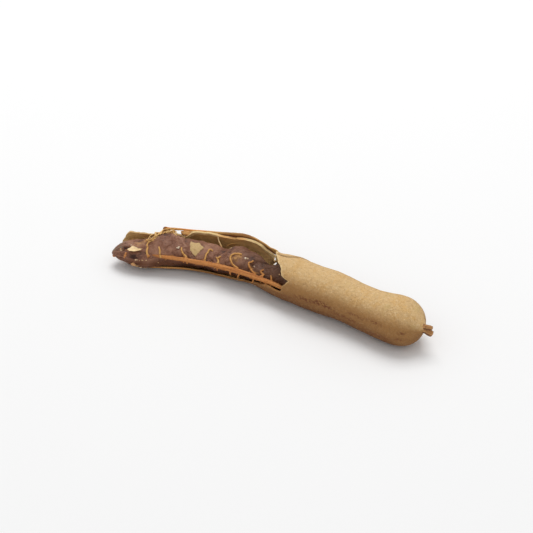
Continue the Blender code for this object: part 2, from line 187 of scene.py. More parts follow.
# What goes with the back strand, as its own rows: the dark fibre between the strand and the rim, which is
# painted shade for the gap there, thin ones beside it, and its frayed end
BACK_STRAND_ENDS = (
    ((40, 160, 1.05, 0.3, 1.8), (45, 160, 1.055, 0.6, 2), (50, 154, 1.06, 0.7, 2), (54, 148, 1.08, 0.65, 2),
     (58, 149, 1.07, 0.5, 2), (62, 156, 1.03, 0.38, 2), (66, 166, 1.02, 0.4, 2),
     (69.5, 171, 1.02, 0.4, 1.8)),
    ((43, 157, 1.09, 0.2, 1.2), (50, 149, 1.12, 0.35, 1), (57, 143, 1.135, 0.35, 1),
     (62, 148, 1.08, 0.3, 1),
     (67, 160, 1.04, 0.25, 1), (70.8, 160, 1.04, 0.2, 1)),
    ((61, 150, 1.07, 0.25, 1.2), (65, 160, 1.05, 0.3, 1.2), (69, 166, 1.05, 0.4, 1),
     (70.8, 167, 1.05, 0.3, 1)),
    ((66, 158, 1.03, 0.3, 1), (69, 158, 1.05, 0.35, 1), (70.9, 156, 1.045, 0.25, 1)),
    ((67, 164, 1.03, 0.3, 1.4), (69.5, 169, 1.04, 0.35, 1.4), (71.2, 174, 1.05, 0.25, 1.4)),
)

# The tangle of loose fibres: (mm along, half widths back, half heights up, radius in mm)
TANGLE = (
    ((14.5, -0.06, 0.55, 0.22), (16.9, 0.15, 0.46, 0.28), (17.6, 0.30, 0.58, 0.28),
     (19.2, 0.45, 0.55, 0.28),
     (21.9, 0.70, 0.45, 0.28), (23.5, 0.90, 0.38, 0.22)),
    ((16.2, 0.08, 0.42, 0.2), (18.4, 0.30, 0.51, 0.25), (17.3, 0.50, 0.43, 0.25), (19.0, 0.60, 0.44, 0.2)),
    ((23.5, 0.90, 0.38, 0.3), (24.7, 0.60, 0.40, 0.3), (25.6, 0.38, 0.44, 0.28), (26.4, 0.26, 0.42, 0.2)),
    ((24.9, 0.52, 0.40, 0.25), (24.5, 0.38, 0.42, 0.22), (24.4, 0.24, 0.44, 0.16)),
    ((17.0, 0.34, 0.48, 0.2), (19.6, 0.62, 0.52, 0.25), (22.2, 0.80, 0.36, 0.25), (24.2, 0.88, 0.42, 0.2)),
    ((18.6, 0.36, 0.42, 0.18), (20.4, 0.42, 0.52, 0.22), (22.0, 0.58, 0.56, 0.22),
     (23.8, 0.80, 0.44, 0.18)),
    ((12.6, -0.02, 0.50, 0.16), (14.8, 0.16, 0.42, 0.2), (16.6, 0.42, 0.50, 0.2), (18.2, 0.70, 0.42, 0.18)),
)
# The fibre that hangs from the rim and the one that lies on the back wall, as the front strand's rows
WALL_FIBRES = (
    ((41.9, 0.90, 0.44, 0.36, 0), (42.7, 0.83, 0.30, 0.3, 0), (43.3, 0.76, 0.12, 0.3, 0.2),
     (44.8, 0.62, -0.06, 0.42, 0.8), (45.4, 0.56, -0.10, 0.25, 1)),
    ((46.4, 0.78, -0.14, 0.16, 1.1), (48.6, 0.82, 0.06, 0.28, 1), (51.4, 0.84, 0.14, 0.18, 1.2)),
)

# Scraps of shell stuck to the pulp, as outlines of (mm along, angle), anticlockwise from above
SCRAPS = {
    "shell_scrap_left": (
        (4.7, 58), (5.2, 54), (7.0, 52), (8.2, 53), (10.5, 56), (11.4, 60), (9.5, 63), (8.2, 69), (6.8, 76),
    ),
    "shell_scrap_middle": (
        (33.0, 92), (32.9, 80), (33.4, 70), (33.8, 55), (35.1, 46), (36.9, 38), (37.8, 52), (38.3, 63),
        (39.6, 80), (36.4, 95), (34.7, 89),
    ),
}

# The stalk's lobes: (mm past the shell, half widths back, half heights up, radius in mm)
STALK_LOBES = (
    ((-1.5, 0, 0.22, 1.4), (0.6, 0, 0.25, 1.3), (1.6, 0, 0.28, 1.05), (3.2, 0, 0.33, 0.95),
     (4.6, 0, 0.35, 0.85)),
    ((-1.5, 0, 0.12, 1.6), (0.6, 0, 0.11, 1.6), (1.6, 0, 0.10, 1.4), (3.2, 0, 0.07, 1.3),
     (5.0, 0, 0.04, 1.2)),
)

# Crumbs on the pulp: (mm along, angle, half length along and round it in mm, tint). A tint goes from 0 for
# cream over 0.45 for tan and 0.75 for orange-brown to 1 for dark brown.
CRUMBS = (
    (27.6, 57.5, 0.55, 0.3, 0), (28.2, 62, 0.4, 0.28, 0.05), (62.0, 68, 0.5, 0.5, 0.05),
    (62.9, 72, 0.35, 0.3, 0.25), (67.3, 62, 0.4, 0.4, 0), (51.3, 109, 0.5, 0.35, 0.4),
    (50.5, 115, 0.3, 0.3, 0.5), (81.6, 38, 0.3, 0.35, 0.4), (5.8, 85, 0.35, 0.35, 0.1),
    (1.3, 60, 0.5, 0.4, 0.3), (0.8, 72, 0.35, 0.5, 0.6), (2.1, 71, 0.6, 0.4, 1), (3.4, 79, 0.5, 0.45, 1),
    (5.0, 80, 0.55, 0.45, 0.95), (5.7, 68, 0.45, 0.35, 1), (3.8, 63, 0.6, 0.35, 0.9),
    (2.3, 61, 0.45, 0.4, 1), (8.6, 18, 0.7, 0.25, 0.35), (10.1, 15, 0.25, 0.18, 0.5),
    (11.5, 16.5, 0.5, 0.2, 0.45), (13.3, 15, 0.35, 0.2, 0.4), (3.3, 30, 0.6, 1.2, 0.72),
    (3.7, 41, 0.5, 0.6, 0.8), (7.2, -18, 1.1, 1.1, 0.6), (8.9, -27, 0.7, 0.5, 0.45),
    (-2.4, -34, 0.6, 0.5, 0.75), (10.4, -32, 0.7, 0.4, 0.3), (12.4, -50, 0.6, 0.4, 0.25),
    (18.5, -10, 0.4, 0.25, 0.5), (72, 30, 0.3, 0.3, 0.5), (44, 20, 0.35, 0.25, 0.7),
    (36.5, 18, 0.3, 0.25, 0.65), (56, 10, 0.35, 0.25, 0.7),
)
# Golden stains on the pulp: (mm along, angle, reach in mm)
STAINS = (
    (57.4, 50, 1.5), (58.6, 66, 1.6), (69.3, 36, 1.2), (66.5, 46, 0.9), (9.5, 88, 1.8), (13.5, 102, 2.2),
)
# Rubbed places on the husk: (mm along, angle, half length in mm, half height in degrees)
SCUFFS = (
    (105, 13, 4, 6), (109, 7, 4.5, 6), (123, 15, 4.5, 5), (133, 19, 3.5, 4), (118, 356, 7, 6),
    (134, 346, 5, 6), (144.8, 354, 2, 5), (145, 14, 1.4, 5),
    (98, 4, 6, 8), (88, 350, 4, 6), (124, 200, 5, 9), (100, 215, 6, 8),
)
# Sharp creases round the pulp: (mm along, depth in mm, slant in mm)
PULP_CREASES = ((32.0, 0.6, -1.5), (46.8, 0.5, 2.2), (67, 0.6, 2.0), (13.5, 0.35, 2.5))
# Dents in the pulp's tip: (mm along, angle, reach in mm, depth in mm)
PULP_DENTS = ((6.8, 30, 2.4, 0.8), (3.6, 71, 1.8, 0.5), (10.5, 8, 2.2, 0.5))

# The camera's place, as the direction that it looks from, its distance from what it looks at, and its lens
CAMERA_AZIMUTH = 25.4
CAMERA_ELEVATION = 36
CAMERA_DISTANCE = 0.60
CAMERA_LENS = 92.9
CAMERA_CLIP = 0.01
CAMERA_SHIFT = (0.0045, 0.0403)
AIM_HEIGHT = 9 * MM

# Millimetres over the skin to one degree round it
MM_PER_DEGREE = math.radians(HALF_WIDTH / MM)
# What the lattice's numbers are hashed with, and the steps that a normal is worked out from
HASH_AXES = np.array([73856093, 19349663, 83492791])
HASH_SEED = 668265263
HASH_MIX = ((15, 2246822519), (13, 3266489917))
NORMAL_STEP = 0.05 * MM
NORMAL_TURN = 0.2


# Shape functions


def smooth(x):
    """0 below 0, 1 above 1, and 3x^2 - 2x^3 between."""
    x = np.clip(x, 0, 1)
    return x * x * (3 - 2 * x)


def bump(x, at, reach):
    """1 at its place, falling off as exp(-d^2)."""
    return np.exp(-(((x - at) / reach) ** 2))


def bumps(x, table):
    """The sum of a table's bumps of (place, height, reach)."""
    return sum(height * bump(x, at, reach) for at, height, reach in table)


def within(x, stretch):
    """1 inside a stretch of (start, ease in, end, ease out) and 0 outside it, eased over its two ends."""
    start, ease_in, end, ease_out = stretch
    return smooth((x - start) / ease_in) * smooth((end - x) / ease_out)


def along(table, x):
    """A table of (x, value) pairs read at x, straight between its points."""
    places, values = zip(*table)
    return np.interp(x, places, values)


def from_front(angle):
    """The same angle, from -180 to 180, with the front at 0."""
    return (angle + 180) % 360 - 180


def noise(points, size, seed=0):
    """
    Value noise from -1 to 1 over points in metres, with lumps of this size in metres: a hashed number at
    each corner of a lattice, eased between the eight corners round a point.
    """
    scaled = np.asarray(points) / size
    cell = np.floor(scaled).astype(np.int64)
    t = smooth(scaled - cell)
    total = np.zeros(t.shape[:-1])
    for corner in np.ndindex(2, 2, 2):
        number = (cell + corner) @ HASH_AXES + HASH_SEED * (seed + 1)
        for shift, factor in HASH_MIX:
            number = ((number ^ (number >> shift)) * factor) & 0xFFFFFFFF
        number = (number ^ (number >> 16)) & 0xFFFF
        total += np.prod(np.where(corner, t, 1 - t), axis=-1) * (number / 32767.5 - 1)
    return total


def rough(points, layers):
    """The sum of layers of noise, as (gain, size in mm, seed)."""
    return sum(gain * noise(points, size * MM, seed) for gain, size, seed in layers)


def wander(x, size, seed=0):
    """Noise along a line, of x in any unit, with steps of this size in the same unit."""
    x = np.asarray(x, float)
    return noise(np.stack([x, 0 * x, 0 * x], axis=-1), size, seed)


def ragged(x, layers):
    """The sum of layers of noise along a line, as (gain, size, seed)."""
    return sum(gain * wander(x, size, seed) for gain, size, seed in layers)


def heading(s):
    """The direction of the centreline in plan, in radians from +X."""
    turn = smooth((s / LENGTH - BEND_FROM) / (BEND_TO - BEND_FROM))
    return np.radians(HEADING_OPEN + (HEADING_STALK - HEADING_OPEN) * turn)


def plan_of_centreline():
    """Distances and their (x, y), stepped along the heading, with the chord's middle at its place."""
    s = np.linspace(-PLAN_BEYOND * LENGTH, (1 + PLAN_BEYOND) * LENGTH, PLAN_POINTS)
    middle = heading((s[1:] + s[:-1]) / 2)
    steps = np.diff(s) * np.stack([np.cos(middle), np.sin(middle)])
    plan = np.concatenate([[[0.0], [0.0]], np.cumsum(steps, axis=1)], axis=1)
    for axis, wanted in zip(plan, CHORD_MIDDLE):
        axis += wanted - (np.interp(0, s, axis) + np.interp(LENGTH, s, axis)) / 2
    return s, plan[0], plan[1]


CENTRELINE = plan_of_centreline()


def slimness(s):
    """The size of the plain tube at s, as a share of its full size."""
    return 1 - TAPER * (1 - smooth((s / LENGTH - TAPER_FROM) / (TAPER_TO - TAPER_FROM)))


def girth(s):
    """The pod's size at s: slimmer at the open end, and a superellipse that closes at the stalk."""
    closing = np.clip((s / LENGTH - CLOSE_FROM) / (1 - CLOSE_FROM), 0, 1)
    return slimness(s) * (1 - closing**CLOSE_POWER) ** (1 / CLOSE_POWER)


def swell(s, angle):
    """The gain over the plain tube: the upper swellings fade round to the lower ones as a cosine."""
    upper = (1 + np.cos(np.radians(angle - TOP_SIDE))) / 2
    return upper * bumps(s / LENGTH, UPPER_SWELLS) + (1 - upper) * bumps(s / LENGTH, LOWER_SWELLS)


def place(s, back, up):
    """The point this far back and up from the centreline at s."""
    x, y = np.interp(s, CENTRELINE[0], CENTRELINE[1]), np.interp(s, CENTRELINE[0], CENTRELINE[2])
    z = HALF_HEIGHT * slimness(s) - SETTLE
    turn = heading(s)
    return np.stack([x - np.sin(turn) * back, y + np.cos(turn) * back, z + up], axis=-1)


def around(s, angle, share=1.0):
    """The point at (s, angle), at a share of the way from the centreline to the shell's skin."""
    s, angle = np.broadcast_arrays(np.asarray(s, float), np.asarray(angle, float))
    turn = np.radians(angle)
    size = girth(s) * (1 + swell(s, angle)) * share
    return place(s, -np.cos(turn) * HALF_WIDTH * size, np.sin(turn) * HALF_HEIGHT * size)


def in_section(s, back, up):
    """The point at s this many of the pod's half widths back and half heights up."""
    return place(s, back * HALF_WIDTH * slimness(s), up * HALF_HEIGHT * slimness(s))


def pulp_surface(s, angle):
    """An ellipse whose top follows the lumps, with a tip at the open end and closed at the stalk end."""
    s, angle = np.broadcast_arrays(np.asarray(s, float), np.asarray(angle, float))
    front, back = along(PULP_FRONT, s / MM), along(PULP_BACK, s / MM)
    top = PULP_TOP + bumps(s / MM, PULP_LUMPS)
    top = top + (PULP_TOP_INSIDE - top) * smooth((s - PULP_INSIDE_FROM) / PULP_INSIDE_REACH)
    inner_power, outer_power = PULP_TIP_POWERS
    tip = (1 - (1 - np.clip((s - PULP_TIP) / PULP_TIP_REACH, 0, 1)) ** inner_power) ** outer_power
    end = np.clip((s - (1 - PULP_CLOSING) * PULP_END) / (PULP_CLOSING * PULP_END), 0, 1)
    close = tip * (1 - end**2) ** 0.5
    turn = np.radians(angle)
    across = (back - front) / 2 - np.cos(turn) * (back + front) / 2 * close
    middle = (top - PULP_FLOOR) / 2 * tip - PULP_TIP_DROOP * (1 - tip)
    up = middle + np.sin(turn) * (top + PULP_FLOOR) / 2 * close
    size = girth(np.clip(s, 0, None)) * (1 + swell(s, np.degrees(np.arctan2(up, -across))))
    return place(s, HALF_WIDTH * size * across, HALF_HEIGHT * size * up)


def line_distance(s, angle, line):
    """Millimetres over the skin from (s, angle) to the nearest place on a line of (mm along, angle)."""
    here = np.stack([s / MM, (angle % 360) * MM_PER_DEGREE], axis=-1)
    knots = np.array(line) * (1, MM_PER_DEGREE)
    nearest = np.full(here.shape[:-1], np.inf)
    for start, end in zip(knots, knots[1:]):
        run = end - start
        share = np.clip((here - start) @ run / (run @ run), 0, 1)[..., None]
        nearest = np.minimum(nearest, np.linalg.norm(here - start - share * run, axis=-1))
    return nearest


def signed_distance(s, angle, line):
    """Millimetres to a line whose s grows, above 0 on the side of the larger angles."""
    return line_distance(s, angle, line) * np.sign(angle % 360 - along(line, s / MM))


def spot(s, angle, at, turn, reach):
    """1 at (mm along, angle), falling off over the skin as exp(-d^2), with its reach in mm."""
    return np.exp(-((s / MM - at) ** 2 + ((angle - turn) * MM_PER_DEGREE) ** 2) / reach**2)


# Mesh makers

# Any direction that no fibre follows, to start its rings from, and the grain of its streaks: scale along
# and round, and seed
RING_START = (0.3, 0.2, 1.0)
STREAK_GRAIN = (0.2, 2.0, 11)


def smooth_path(rows, steps):
    """A Catmull-Rom curve through the rows, with this many steps from each to the next."""
    rows = np.asarray(rows, float)
    ends = np.vstack([2 * rows[0] - rows[1], rows, 2 * rows[-1] - rows[-2]])
    t = (np.arange(steps) / steps)[:, None]
    spans = []
    for before, start, end, after in zip(ends, ends[1:], ends[2:], ends[3:]):
        bend = 2 * before - 5 * start + 4 * end - after
        twist = -before + 3 * start - 3 * end + after
        spans.append(start + (end - before) * t / 2 + bend * t**2 / 2 + twist * t**3 / 2)
    return np.vstack([*spans, rows[-1:]])


def quads(index):
    """The faces between neighbours in a table of point numbers, where all four points exist."""
    corners = np.stack([index[:-1, :-1], index[1:, :-1], index[1:, 1:], index[:-1, 1:]], axis=-1)
    corners = corners.reshape(-1, 4)
    return corners[(corners >= 0).all(axis=1)]


def tube_index(rows, columns):
    """Point numbers of a closed tube: its last column is its first one, and each end row is one point."""
    index = np.arange(rows * columns).reshape(rows, columns)
    index[:, -1] = index[:, 0]
    index[0] = index[0, 0]
    index[-1] = index[-1, 0]
    return index


def skin(surface, s, angle):
    """A surface's points at (s, angle), and its unit normals from small steps along it and round it."""
    run = surface(s + NORMAL_STEP, angle) - surface(s - NORMAL_STEP, angle)
    turn = surface(s, angle + NORMAL_TURN) - surface(s, angle - NORMAL_TURN)
    normal = np.cross(run, turn)
    return surface(s, angle), normal / np.maximum(np.linalg.norm(normal, axis=-1, keepdims=True), 1e-15)


def open_edges(faces):
    """The edges that only one face has, in that face's own order."""
    edges = np.stack([faces, np.roll(faces, -1, axis=1)], axis=-1).reshape(-1, 2)
    edges = edges[edges[:, 0] != edges[:, 1]]
    _, index, count = np.unique(np.sort(edges, axis=1), axis=0, return_inverse=True, return_counts=True)
    return edges[count[index.reshape(-1)] == 1]


def walled(outer, middle, inner, faces):
    """
    An open surface and its inner copy as one closed body: each open edge gets two strips of wall, from the
    outer point over the middle one to the inner one. Gives the points, the faces, and layer, which is 0 on
    the outside and 1 on the inside.
    """
    count = len(outer)
    start, end = open_edges(faces).T
    outer_wall = np.stack([end, start, start + count, end + count], axis=1)
    faces = np.vstack([faces, faces[:, ::-1] + 2 * count, outer_wall, outer_wall + count])
    return np.vstack([outer, middle, inner]), faces, np.repeat([0, 0.5, 1], count)


def swept(path, radius, sides, relief=None, tint=0.0, blunt=1.0):
    """
    A fibre with round ends: rings across the path, each carried on from the one before with no twist.
    relief is a function of (mm along, turn) that adds to a radius of 1, and blunt is how many radii the
    end's rounding takes. Its values are its tint, streak, a noise drawn out along it, and under, 0 on top
    and 1 beneath.
    """
    ahead = np.gradient(path, axis=0)
    ahead /= np.linalg.norm(ahead, axis=1, keepdims=True)
    side = np.empty_like(path)
    side[0] = np.cross(ahead[0], RING_START)
    for k in range(1, len(path)):
        side[k] = side[k - 1] - ahead[k] * (side[k - 1] @ ahead[k])
    side /= np.linalg.norm(side, axis=1, keepdims=True)
    other = np.cross(side, ahead)
    run = np.concatenate([[0], np.cumsum(np.linalg.norm(np.diff(path, axis=0), axis=1))])
    to_end = np.minimum(run, run[-1] - run) / (blunt * np.broadcast_to(radius, run.shape))
    closing = np.sqrt(1 - (1 - np.clip(to_end, 0, 1)) ** 2)
    turn = np.linspace(0, 2 * math.pi, sides + 1)[None, :]
    size = (radius * closing)[:, None] * np.ones_like(turn)
    if relief:
        size = size * (1 + relief(run[:, None] / MM, turn))
    ring = np.cos(turn)[..., None] * side[:, None] + np.sin(turn)[..., None] * other[:, None]
    points = (path[:, None] + ring * size[..., None]).reshape(-1, 3)
    values = {
        "tint": np.repeat(np.broadcast_to(tint, run.shape), sides + 1),
        "streak": grain(run[:, None] / MM, turn, *STREAK_GRAIN).ravel(),
        # under, 0 on top and 1 beneath, is where the fibres' finish paints shade
        "under": (0.5 - 0.5 * ring[..., 2]).ravel(),
    }
    return points, quads(tube_index(len(path), sides + 1)), values


def grain(run, turn, along_scale, around_scale, seed):
    """Noise over a tube, drawn out along it, from (mm along, turn). It meets itself all the way round."""
    run, turn = np.broadcast_arrays(run * along_scale, turn)
    points = np.stack([run, around_scale * np.cos(turn), around_scale * np.sin(turn)], axis=-1)
    return noise(points, 1.0, seed)


def ridges(run, turn, layers):
    """The sum of layers of grain over a tube, as (gain, scale along, scale round, seed)."""
    return sum(gain * grain(run, turn, *scales_and_seed) for gain, *scales_and_seed in layers)


def joined(shapes):
    """Several (points, faces, values) as one: the faces of each count on from the points of those before."""
    starts = np.cumsum([0] + [len(points) for points, _, _ in shapes])
    points = np.vstack([points for points, _, _ in shapes])
    faces = np.vstack([faces + start for (_, faces, _), start in zip(shapes, starts)])
    values = {name: np.concatenate([v[name] for _, _, v in shapes]) for name in shapes[0][2]}
    return points, faces, values


def add_piece(name, shape, finish, replaces=(), sharp=None):
    """
    A piece of the pod from its (points, faces, values), with its place in its mesh. Points that no face has
    are left out, a face with two corners in one point keeps three, and edges sharper than this many degrees
    stay sharp.
    """
    points, faces, values = shape
    used, faces = np.unique(faces, return_inverse=True)
    faces = faces.reshape(-1, 4)
    double = faces == np.roll(faces, -1, axis=1)
    whole = faces[~double.any(axis=1)]
    pinched = faces[double.any(axis=1)]
    three = pinched[~double[double.any(axis=1)]].reshape(-1, 3)
    mesh = bpy.data.meshes.new(name)
    mesh.from_pydata(points[used], [], whole.tolist() + three.tolist())
    for value_name, numbers in values.items():
        attribute = mesh.attributes.new(value_name, "FLOAT", "POINT")
        attribute.data.foreach_set("value", np.ascontiguousarray(numbers[used], np.float32))
    mesh.shade_smooth()
    if sharp:
        mesh.set_sharp_from_angle(angle=math.radians(sharp))
    mesh.materials.append(finish)
    piece = bpy.data.objects.new(name, mesh)
    bpy.context.scene.collection.objects.link(piece)
    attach(piece, "root")
    if replaces:
        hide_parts(*replaces)
    return piece


# The shell

# Its grid, the power that crowds the whole half's rows towards the stalk, and the sine that crowds columns
# round the crease: its place as a share of the roof, and its strength
TROUGH_COLUMNS = 80
ROOF_COLUMNS = 96
OPEN_ROWS = 220
WHOLE_ROWS = 145
WHOLE_CROWDING = 1.7
CREASE_COLUMNS_AT = 0.59
CREASE_CROWDING = 0.09
# How ragged the torn edges are, as layers of (gain, size, seed): the tear and the open edge in mm over
# degrees, the rims in degrees over mm. The tear's fades over so many degrees at its ends, and a rim's over
# so many mm past the tear's end, from a little earlier at the front.
TEAR_RAGGED = ((0.35, 6, 3), (0.2, 2.2, 4))
OPEN_RAGGED = ((0.45, 14, 5), (0.2, 4, 6))
BACK_RAGGED = ((1.6, 2.6, 7), (1.0, 0.9, 8))
FRONT_RAGGED = ((3.5, 7, 9), (1.6, 1.6, 10))
TEAR_EASE = 8
RIM_EASE = 6
FRONT_EASE_EARLIER = 2
# How far past its ends a crack closes in degrees, and how uneven its width in shares and its course in mm
# are
CRACK_CLOSING = 1.5
CRACK_WIDTH_RAGGED = ((0.3, 2, 12),)
CRACK_COURSE_RAGGED = ((0.15, 2.5, 13),)
# The husk's relief in mm: its roughness as layers of (gain, size in mm, seed), how far it is all sunk to
# stay in the frame's box, and each line's stretch of (start, ease in, end, ease out) and profile of
# (offset, height, reach)
HUSK_ROUGH = ((0.20, 11, 20), (0.07, 3.5, 21), (0.022, 1.1, 22))
HUSK_SUNK = 0.13
CREASE_STRETCH = (74, 1.5, 92, 8)
CREASE_PROFILE = ((0.8, 0.34, 0.6), (0, -0.6, 0.26))
# How far in mm the painted shade along the crease reaches
CREASE_SHADE_REACH = 0.26
SEAM_STRETCH = (100, 14, 150, 5)
SEAM_PROFILE = ((0, 0.22, 0.7), (1.5, -0.10, 0.8), (-1.5, -0.10, 0.8))
# The wall: its uneven thickness in shares, and the roughness of its torn face
WALL_ROUGH = ((0.12, 5, 23),)
TORN_SIZE = 0.8 * MM
TORN_DEPTH = 0.22 * MM
TORN_SEEDS = (24, 25, 26)
# The wall's lip at the back rim: how far in it reaches in mm, its angles, its gain and stretch before the
# tear, and its bump in the notch
LIP_REACH = 0.75
LIP_ANGLES = (120, 10, 190, 6)
LIP_GAIN = 0.35
LIP_STRETCH = (36, 12, 69.5, 3)
LIP_NOTCH = (29.5, 1.2, 2.5)
# Where a torn edge counts as low, by angles from the front
LOW_EDGE_ANGLES = (-130, 30, 40, 30)
# The nose that the skin draws out into at the stalk: its height, its reach round the stalk's line, how high
# that runs in half heights, and how far back the skin starts to be drawn
NOSE_HEIGHT = 1.9 * MM
NOSE_REACH = 2.5 * MM
NOSE_UP = 0.17
NOSE_DEPTH = 9 * MM
NOSE_EASE = 6 * MM
FLOOR_SOFTNESS = 0.12 * MM
SHELL_EDGE_ANGLE = 50


def shell_places():
    """
    Distances and angles of the shell's points, on rows from the open end to the stalk and columns round it.

    Across the trough the angle runs from the back rim to the front rim, and over the roof from the front
    rim on to the back rim, with its columns crowded by a sine round the crease. Along the open half s runs
    from the open edge to the tear, and along the whole half from the tear to the stalk, closer towards the
    end, where the shell turns in. Noise makes each torn edge ragged.
    """
    across = np.linspace(0, 1, TROUGH_COLUMNS + 1)
    over = np.linspace(0, 1, ROOF_COLUMNS + 1)[1:]
    wave = np.sin(2 * math.pi * (over - CREASE_COLUMNS_AT)) + math.sin(2 * math.pi * CREASE_COLUMNS_AT)
    over = over - CREASE_CROWDING * wave
    back_at_tear, front_at_tear = BACK_RIM[-1][1], FRONT_RIM[-1][1]
    roof = front_at_tear + (back_at_tear + 360 - front_at_tear) * over
    start, end = BACK_RIM[-1][0], FRONT_RIM[-1][0]
    torn_part = within(roof, (roof[0], TEAR_EASE, roof[-1], TEAR_EASE))
    over_roof = along(TEAR, roof) + ragged(roof, TEAR_RAGGED) * torn_part
    tear = np.concatenate([start + (end - start) * across, over_roof]) * MM
    edge_angle = np.concatenate([OPEN_EDGE[0][0] + (OPEN_EDGE[-1][0] - OPEN_EDGE[0][0]) * across, 0 * over])
    edge = (along(OPEN_EDGE, edge_angle) + ragged(edge_angle, OPEN_RAGGED)) * MM
    open_share = np.linspace(0, 1, OPEN_ROWS + 1)[:, None]
    whole_share = 1 - (1 - np.linspace(0, 1, WHOLE_ROWS + 1)[1:, None]) ** WHOLE_CROWDING
    s = np.vstack([edge + (tear - edge) * open_share, tear + (LENGTH - tear) * whole_share])
    back_torn = 1 - smooth((s / MM - start) / RIM_EASE)
    back = along(BACK_RIM, s / MM) + back_torn * ragged(s / MM, BACK_RAGGED)
    front_torn = 1 - smooth((s / MM - end + FRONT_EASE_EARLIER) / RIM_EASE)
    front = along(FRONT_RIM, s / MM) + front_torn * ragged(s / MM, FRONT_RAGGED)
    angle = np.hstack([
        (back + (front - back) * np.append(across, 0 * over))[:, : TROUGH_COLUMNS + 1],
        (front + (back + 360 - front) * np.append(0 * across, over))[:, TROUGH_COLUMNS + 1 :],
    ])
    return s, angle


def with_cracks(s, angle, index):
    """
    Opens the cracks: points inside a slit move to its nearer side, and the faces from one side to the other
    go. Gives the moved distances and the faces.
    """
    faces = quads(index)
    s = s.copy()
    for crack in CRACKS:
        middle, turn, half = np.array(crack).T
        first, last = turn[0] - CRACK_CLOSING, turn[-1] + CRACK_CLOSING
        half = np.interp(angle, [first, *turn, last], [0, *half, 0])
        half = half * (1 + ragged(angle, CRACK_WIDTH_RAGGED))
        middle = np.interp(angle, turn, middle) + ragged(angle, CRACK_COURSE_RAGGED)
        reached = (angle > first) & (angle < last)
        side = np.where(s / MM < middle, -1, 1)
        inside = reached & (np.abs(s / MM - middle) < half)
        s = np.where(inside, (middle + side * half) * MM, s)
        beside = np.where(reached, side, 0).ravel()[faces]
        crosses = (beside == -1).any(axis=1) & (beside == 1).any(axis=1)
        faces = faces[~crosses]
    return s, faces


def husk_relief(s, angle, points):
    """How far the husk stands out, in mm: low lumps and grit, the open crease with its lip, and the seam."""
    fold = within(s / MM, CREASE_STRETCH) * bumps(signed_distance(s, angle, CREASE), CREASE_PROFILE)
    seam = within(s / MM, SEAM_STRETCH) * bumps(signed_distance(s, angle, SEAM), SEAM_PROFILE)
    return rough(points, HUSK_ROUGH) + fold + seam - HUSK_SUNK


def nose(points):
    """How far the skin draws out towards the stalk: it falls off as exp(-d^2) round the stalk's own line."""
    root = in_section(LENGTH, 0, NOSE_UP)
    ahead = np.array([math.cos(heading(LENGTH)), math.sin(heading(LENGTH)), 0])
    offset = points - root
    behind = offset @ ahead
    away = np.linalg.norm(offset - behind[..., None] * ahead, axis=-1)
    height = NOSE_HEIGHT * bump(away, 0, NOSE_REACH) * smooth((behind + NOSE_DEPTH) / NOSE_EASE)
    return height[..., None] * ahead


def above_floor(points):
    """The points with those below the floor eased up to it, as (z + sqrt(z^2 + e^2)) / 2."""
    points = points.copy()
    z = points[..., 2]
    points[..., 2] = (z + np.sqrt(z**2 + FLOOR_SOFTNESS**2)) / 2
    return points


def rim_distance(outer, index):
    """Millimetres from each of the outer skin's points to the nearest torn edge."""
    flat = outer.reshape(-1, 3)
    nearest = np.full(len(flat), np.inf)
    for edge_point in flat[np.unique(open_edges(quads(index)))]:
        nearest = np.minimum(nearest, ((flat - edge_point) ** 2).sum(axis=1))
    return np.sqrt(nearest).reshape(outer.shape[:2]) / MM


def lip(s, angle, rim):
    """How much thicker the wall is at the back rim, in shares: before the tear, and in the notch."""
    gain = LIP_GAIN * within(s / MM, LIP_STRETCH) + bumps(s / MM, (LIP_NOTCH,))
    return bump(rim, 0, LIP_REACH) * within(angle, LIP_ANGLES) * gain


def make_shell(finish):
    """The whole shell: an outer skin, an inner one a wall's thickness in, and a ragged wall at each edge."""
    s, angle = shell_places()
    index = np.arange(s.size).reshape(s.shape)
    index[:OPEN_ROWS, TROUGH_COLUMNS + 1 :] = -1
    index[OPEN_ROWS:, -1] = index[OPEN_ROWS:, 0]
    index[-1] = index[-1, 0]
    s, faces = with_cracks(s, angle, index)
    points, normal = skin(around, s, angle)
    normal[-1] = (math.cos(heading(LENGTH)), math.sin(heading(LENGTH)), 0)
    relief = husk_relief(s, angle, points)[..., None] * MM
    outer = above_floor(points + normal * relief + nose(points))
    rim = rim_distance(outer, index)
    wall = WALL * (1 + rough(points, WALL_ROUGH) + lip(s, angle, rim))[..., None]
    inner = outer - normal * wall
    torn = np.stack([noise(points, TORN_SIZE, seed) for seed in TORN_SEEDS], axis=-1)
    middle = (outer + inner) / 2 + TORN_DEPTH * torn
    flat = [part.reshape(-1, 3) for part in (outer, middle, inner)]
    points, faces, layer = walled(*flat, faces)
    values = {
        "layer": layer,
        "rim": np.tile(rim.ravel(), 3),
        "along": np.tile(s.ravel() / MM, 3),
        "turn": np.tile(angle.ravel() % 360, 3),
        "low": np.tile(within(from_front(angle), LOW_EDGE_ANGLES).ravel(), 3),
        "scuff": np.tile(scuffs(s, angle).ravel(), 3),
        # fold is where the crease is darkened as painted shade
        "fold": np.tile(bump(line_distance(s, angle, CREASE), 0, CREASE_SHADE_REACH).ravel(), 3),
        # under, 0 on top and 1 beneath, carries the husk's painted shade
        "under": np.tile((0.5 - 0.5 * np.sin(np.radians(angle))).ravel(), 3),
    }
    add_piece("shell", (points, faces, values), finish, ["pod_shell"], SHELL_EDGE_ANGLE)


def scuffs(s, angle):
    """Where the skin is rubbed brown: soft patches at their places, 1 in their middles."""
    total = np.zeros(s.shape)
    for at, turn, length, height in SCUFFS:
        total = total + bump(s / MM, at, length) * bump(from_front(angle - turn), 0, height)
    return np.clip(total, 0, 1)


# The pulp

# Its grid: the open part, this share of its length, has this share of its rows. The back's two sides are
# blended over so many degrees up to where the angle jumps.
PULP_ROWS = 420
PULP_COLUMNS = 220
PULP_OPEN_LENGTH = 0.62
PULP_OPEN_ROWS = 0.84
PULP_BLEND = 30
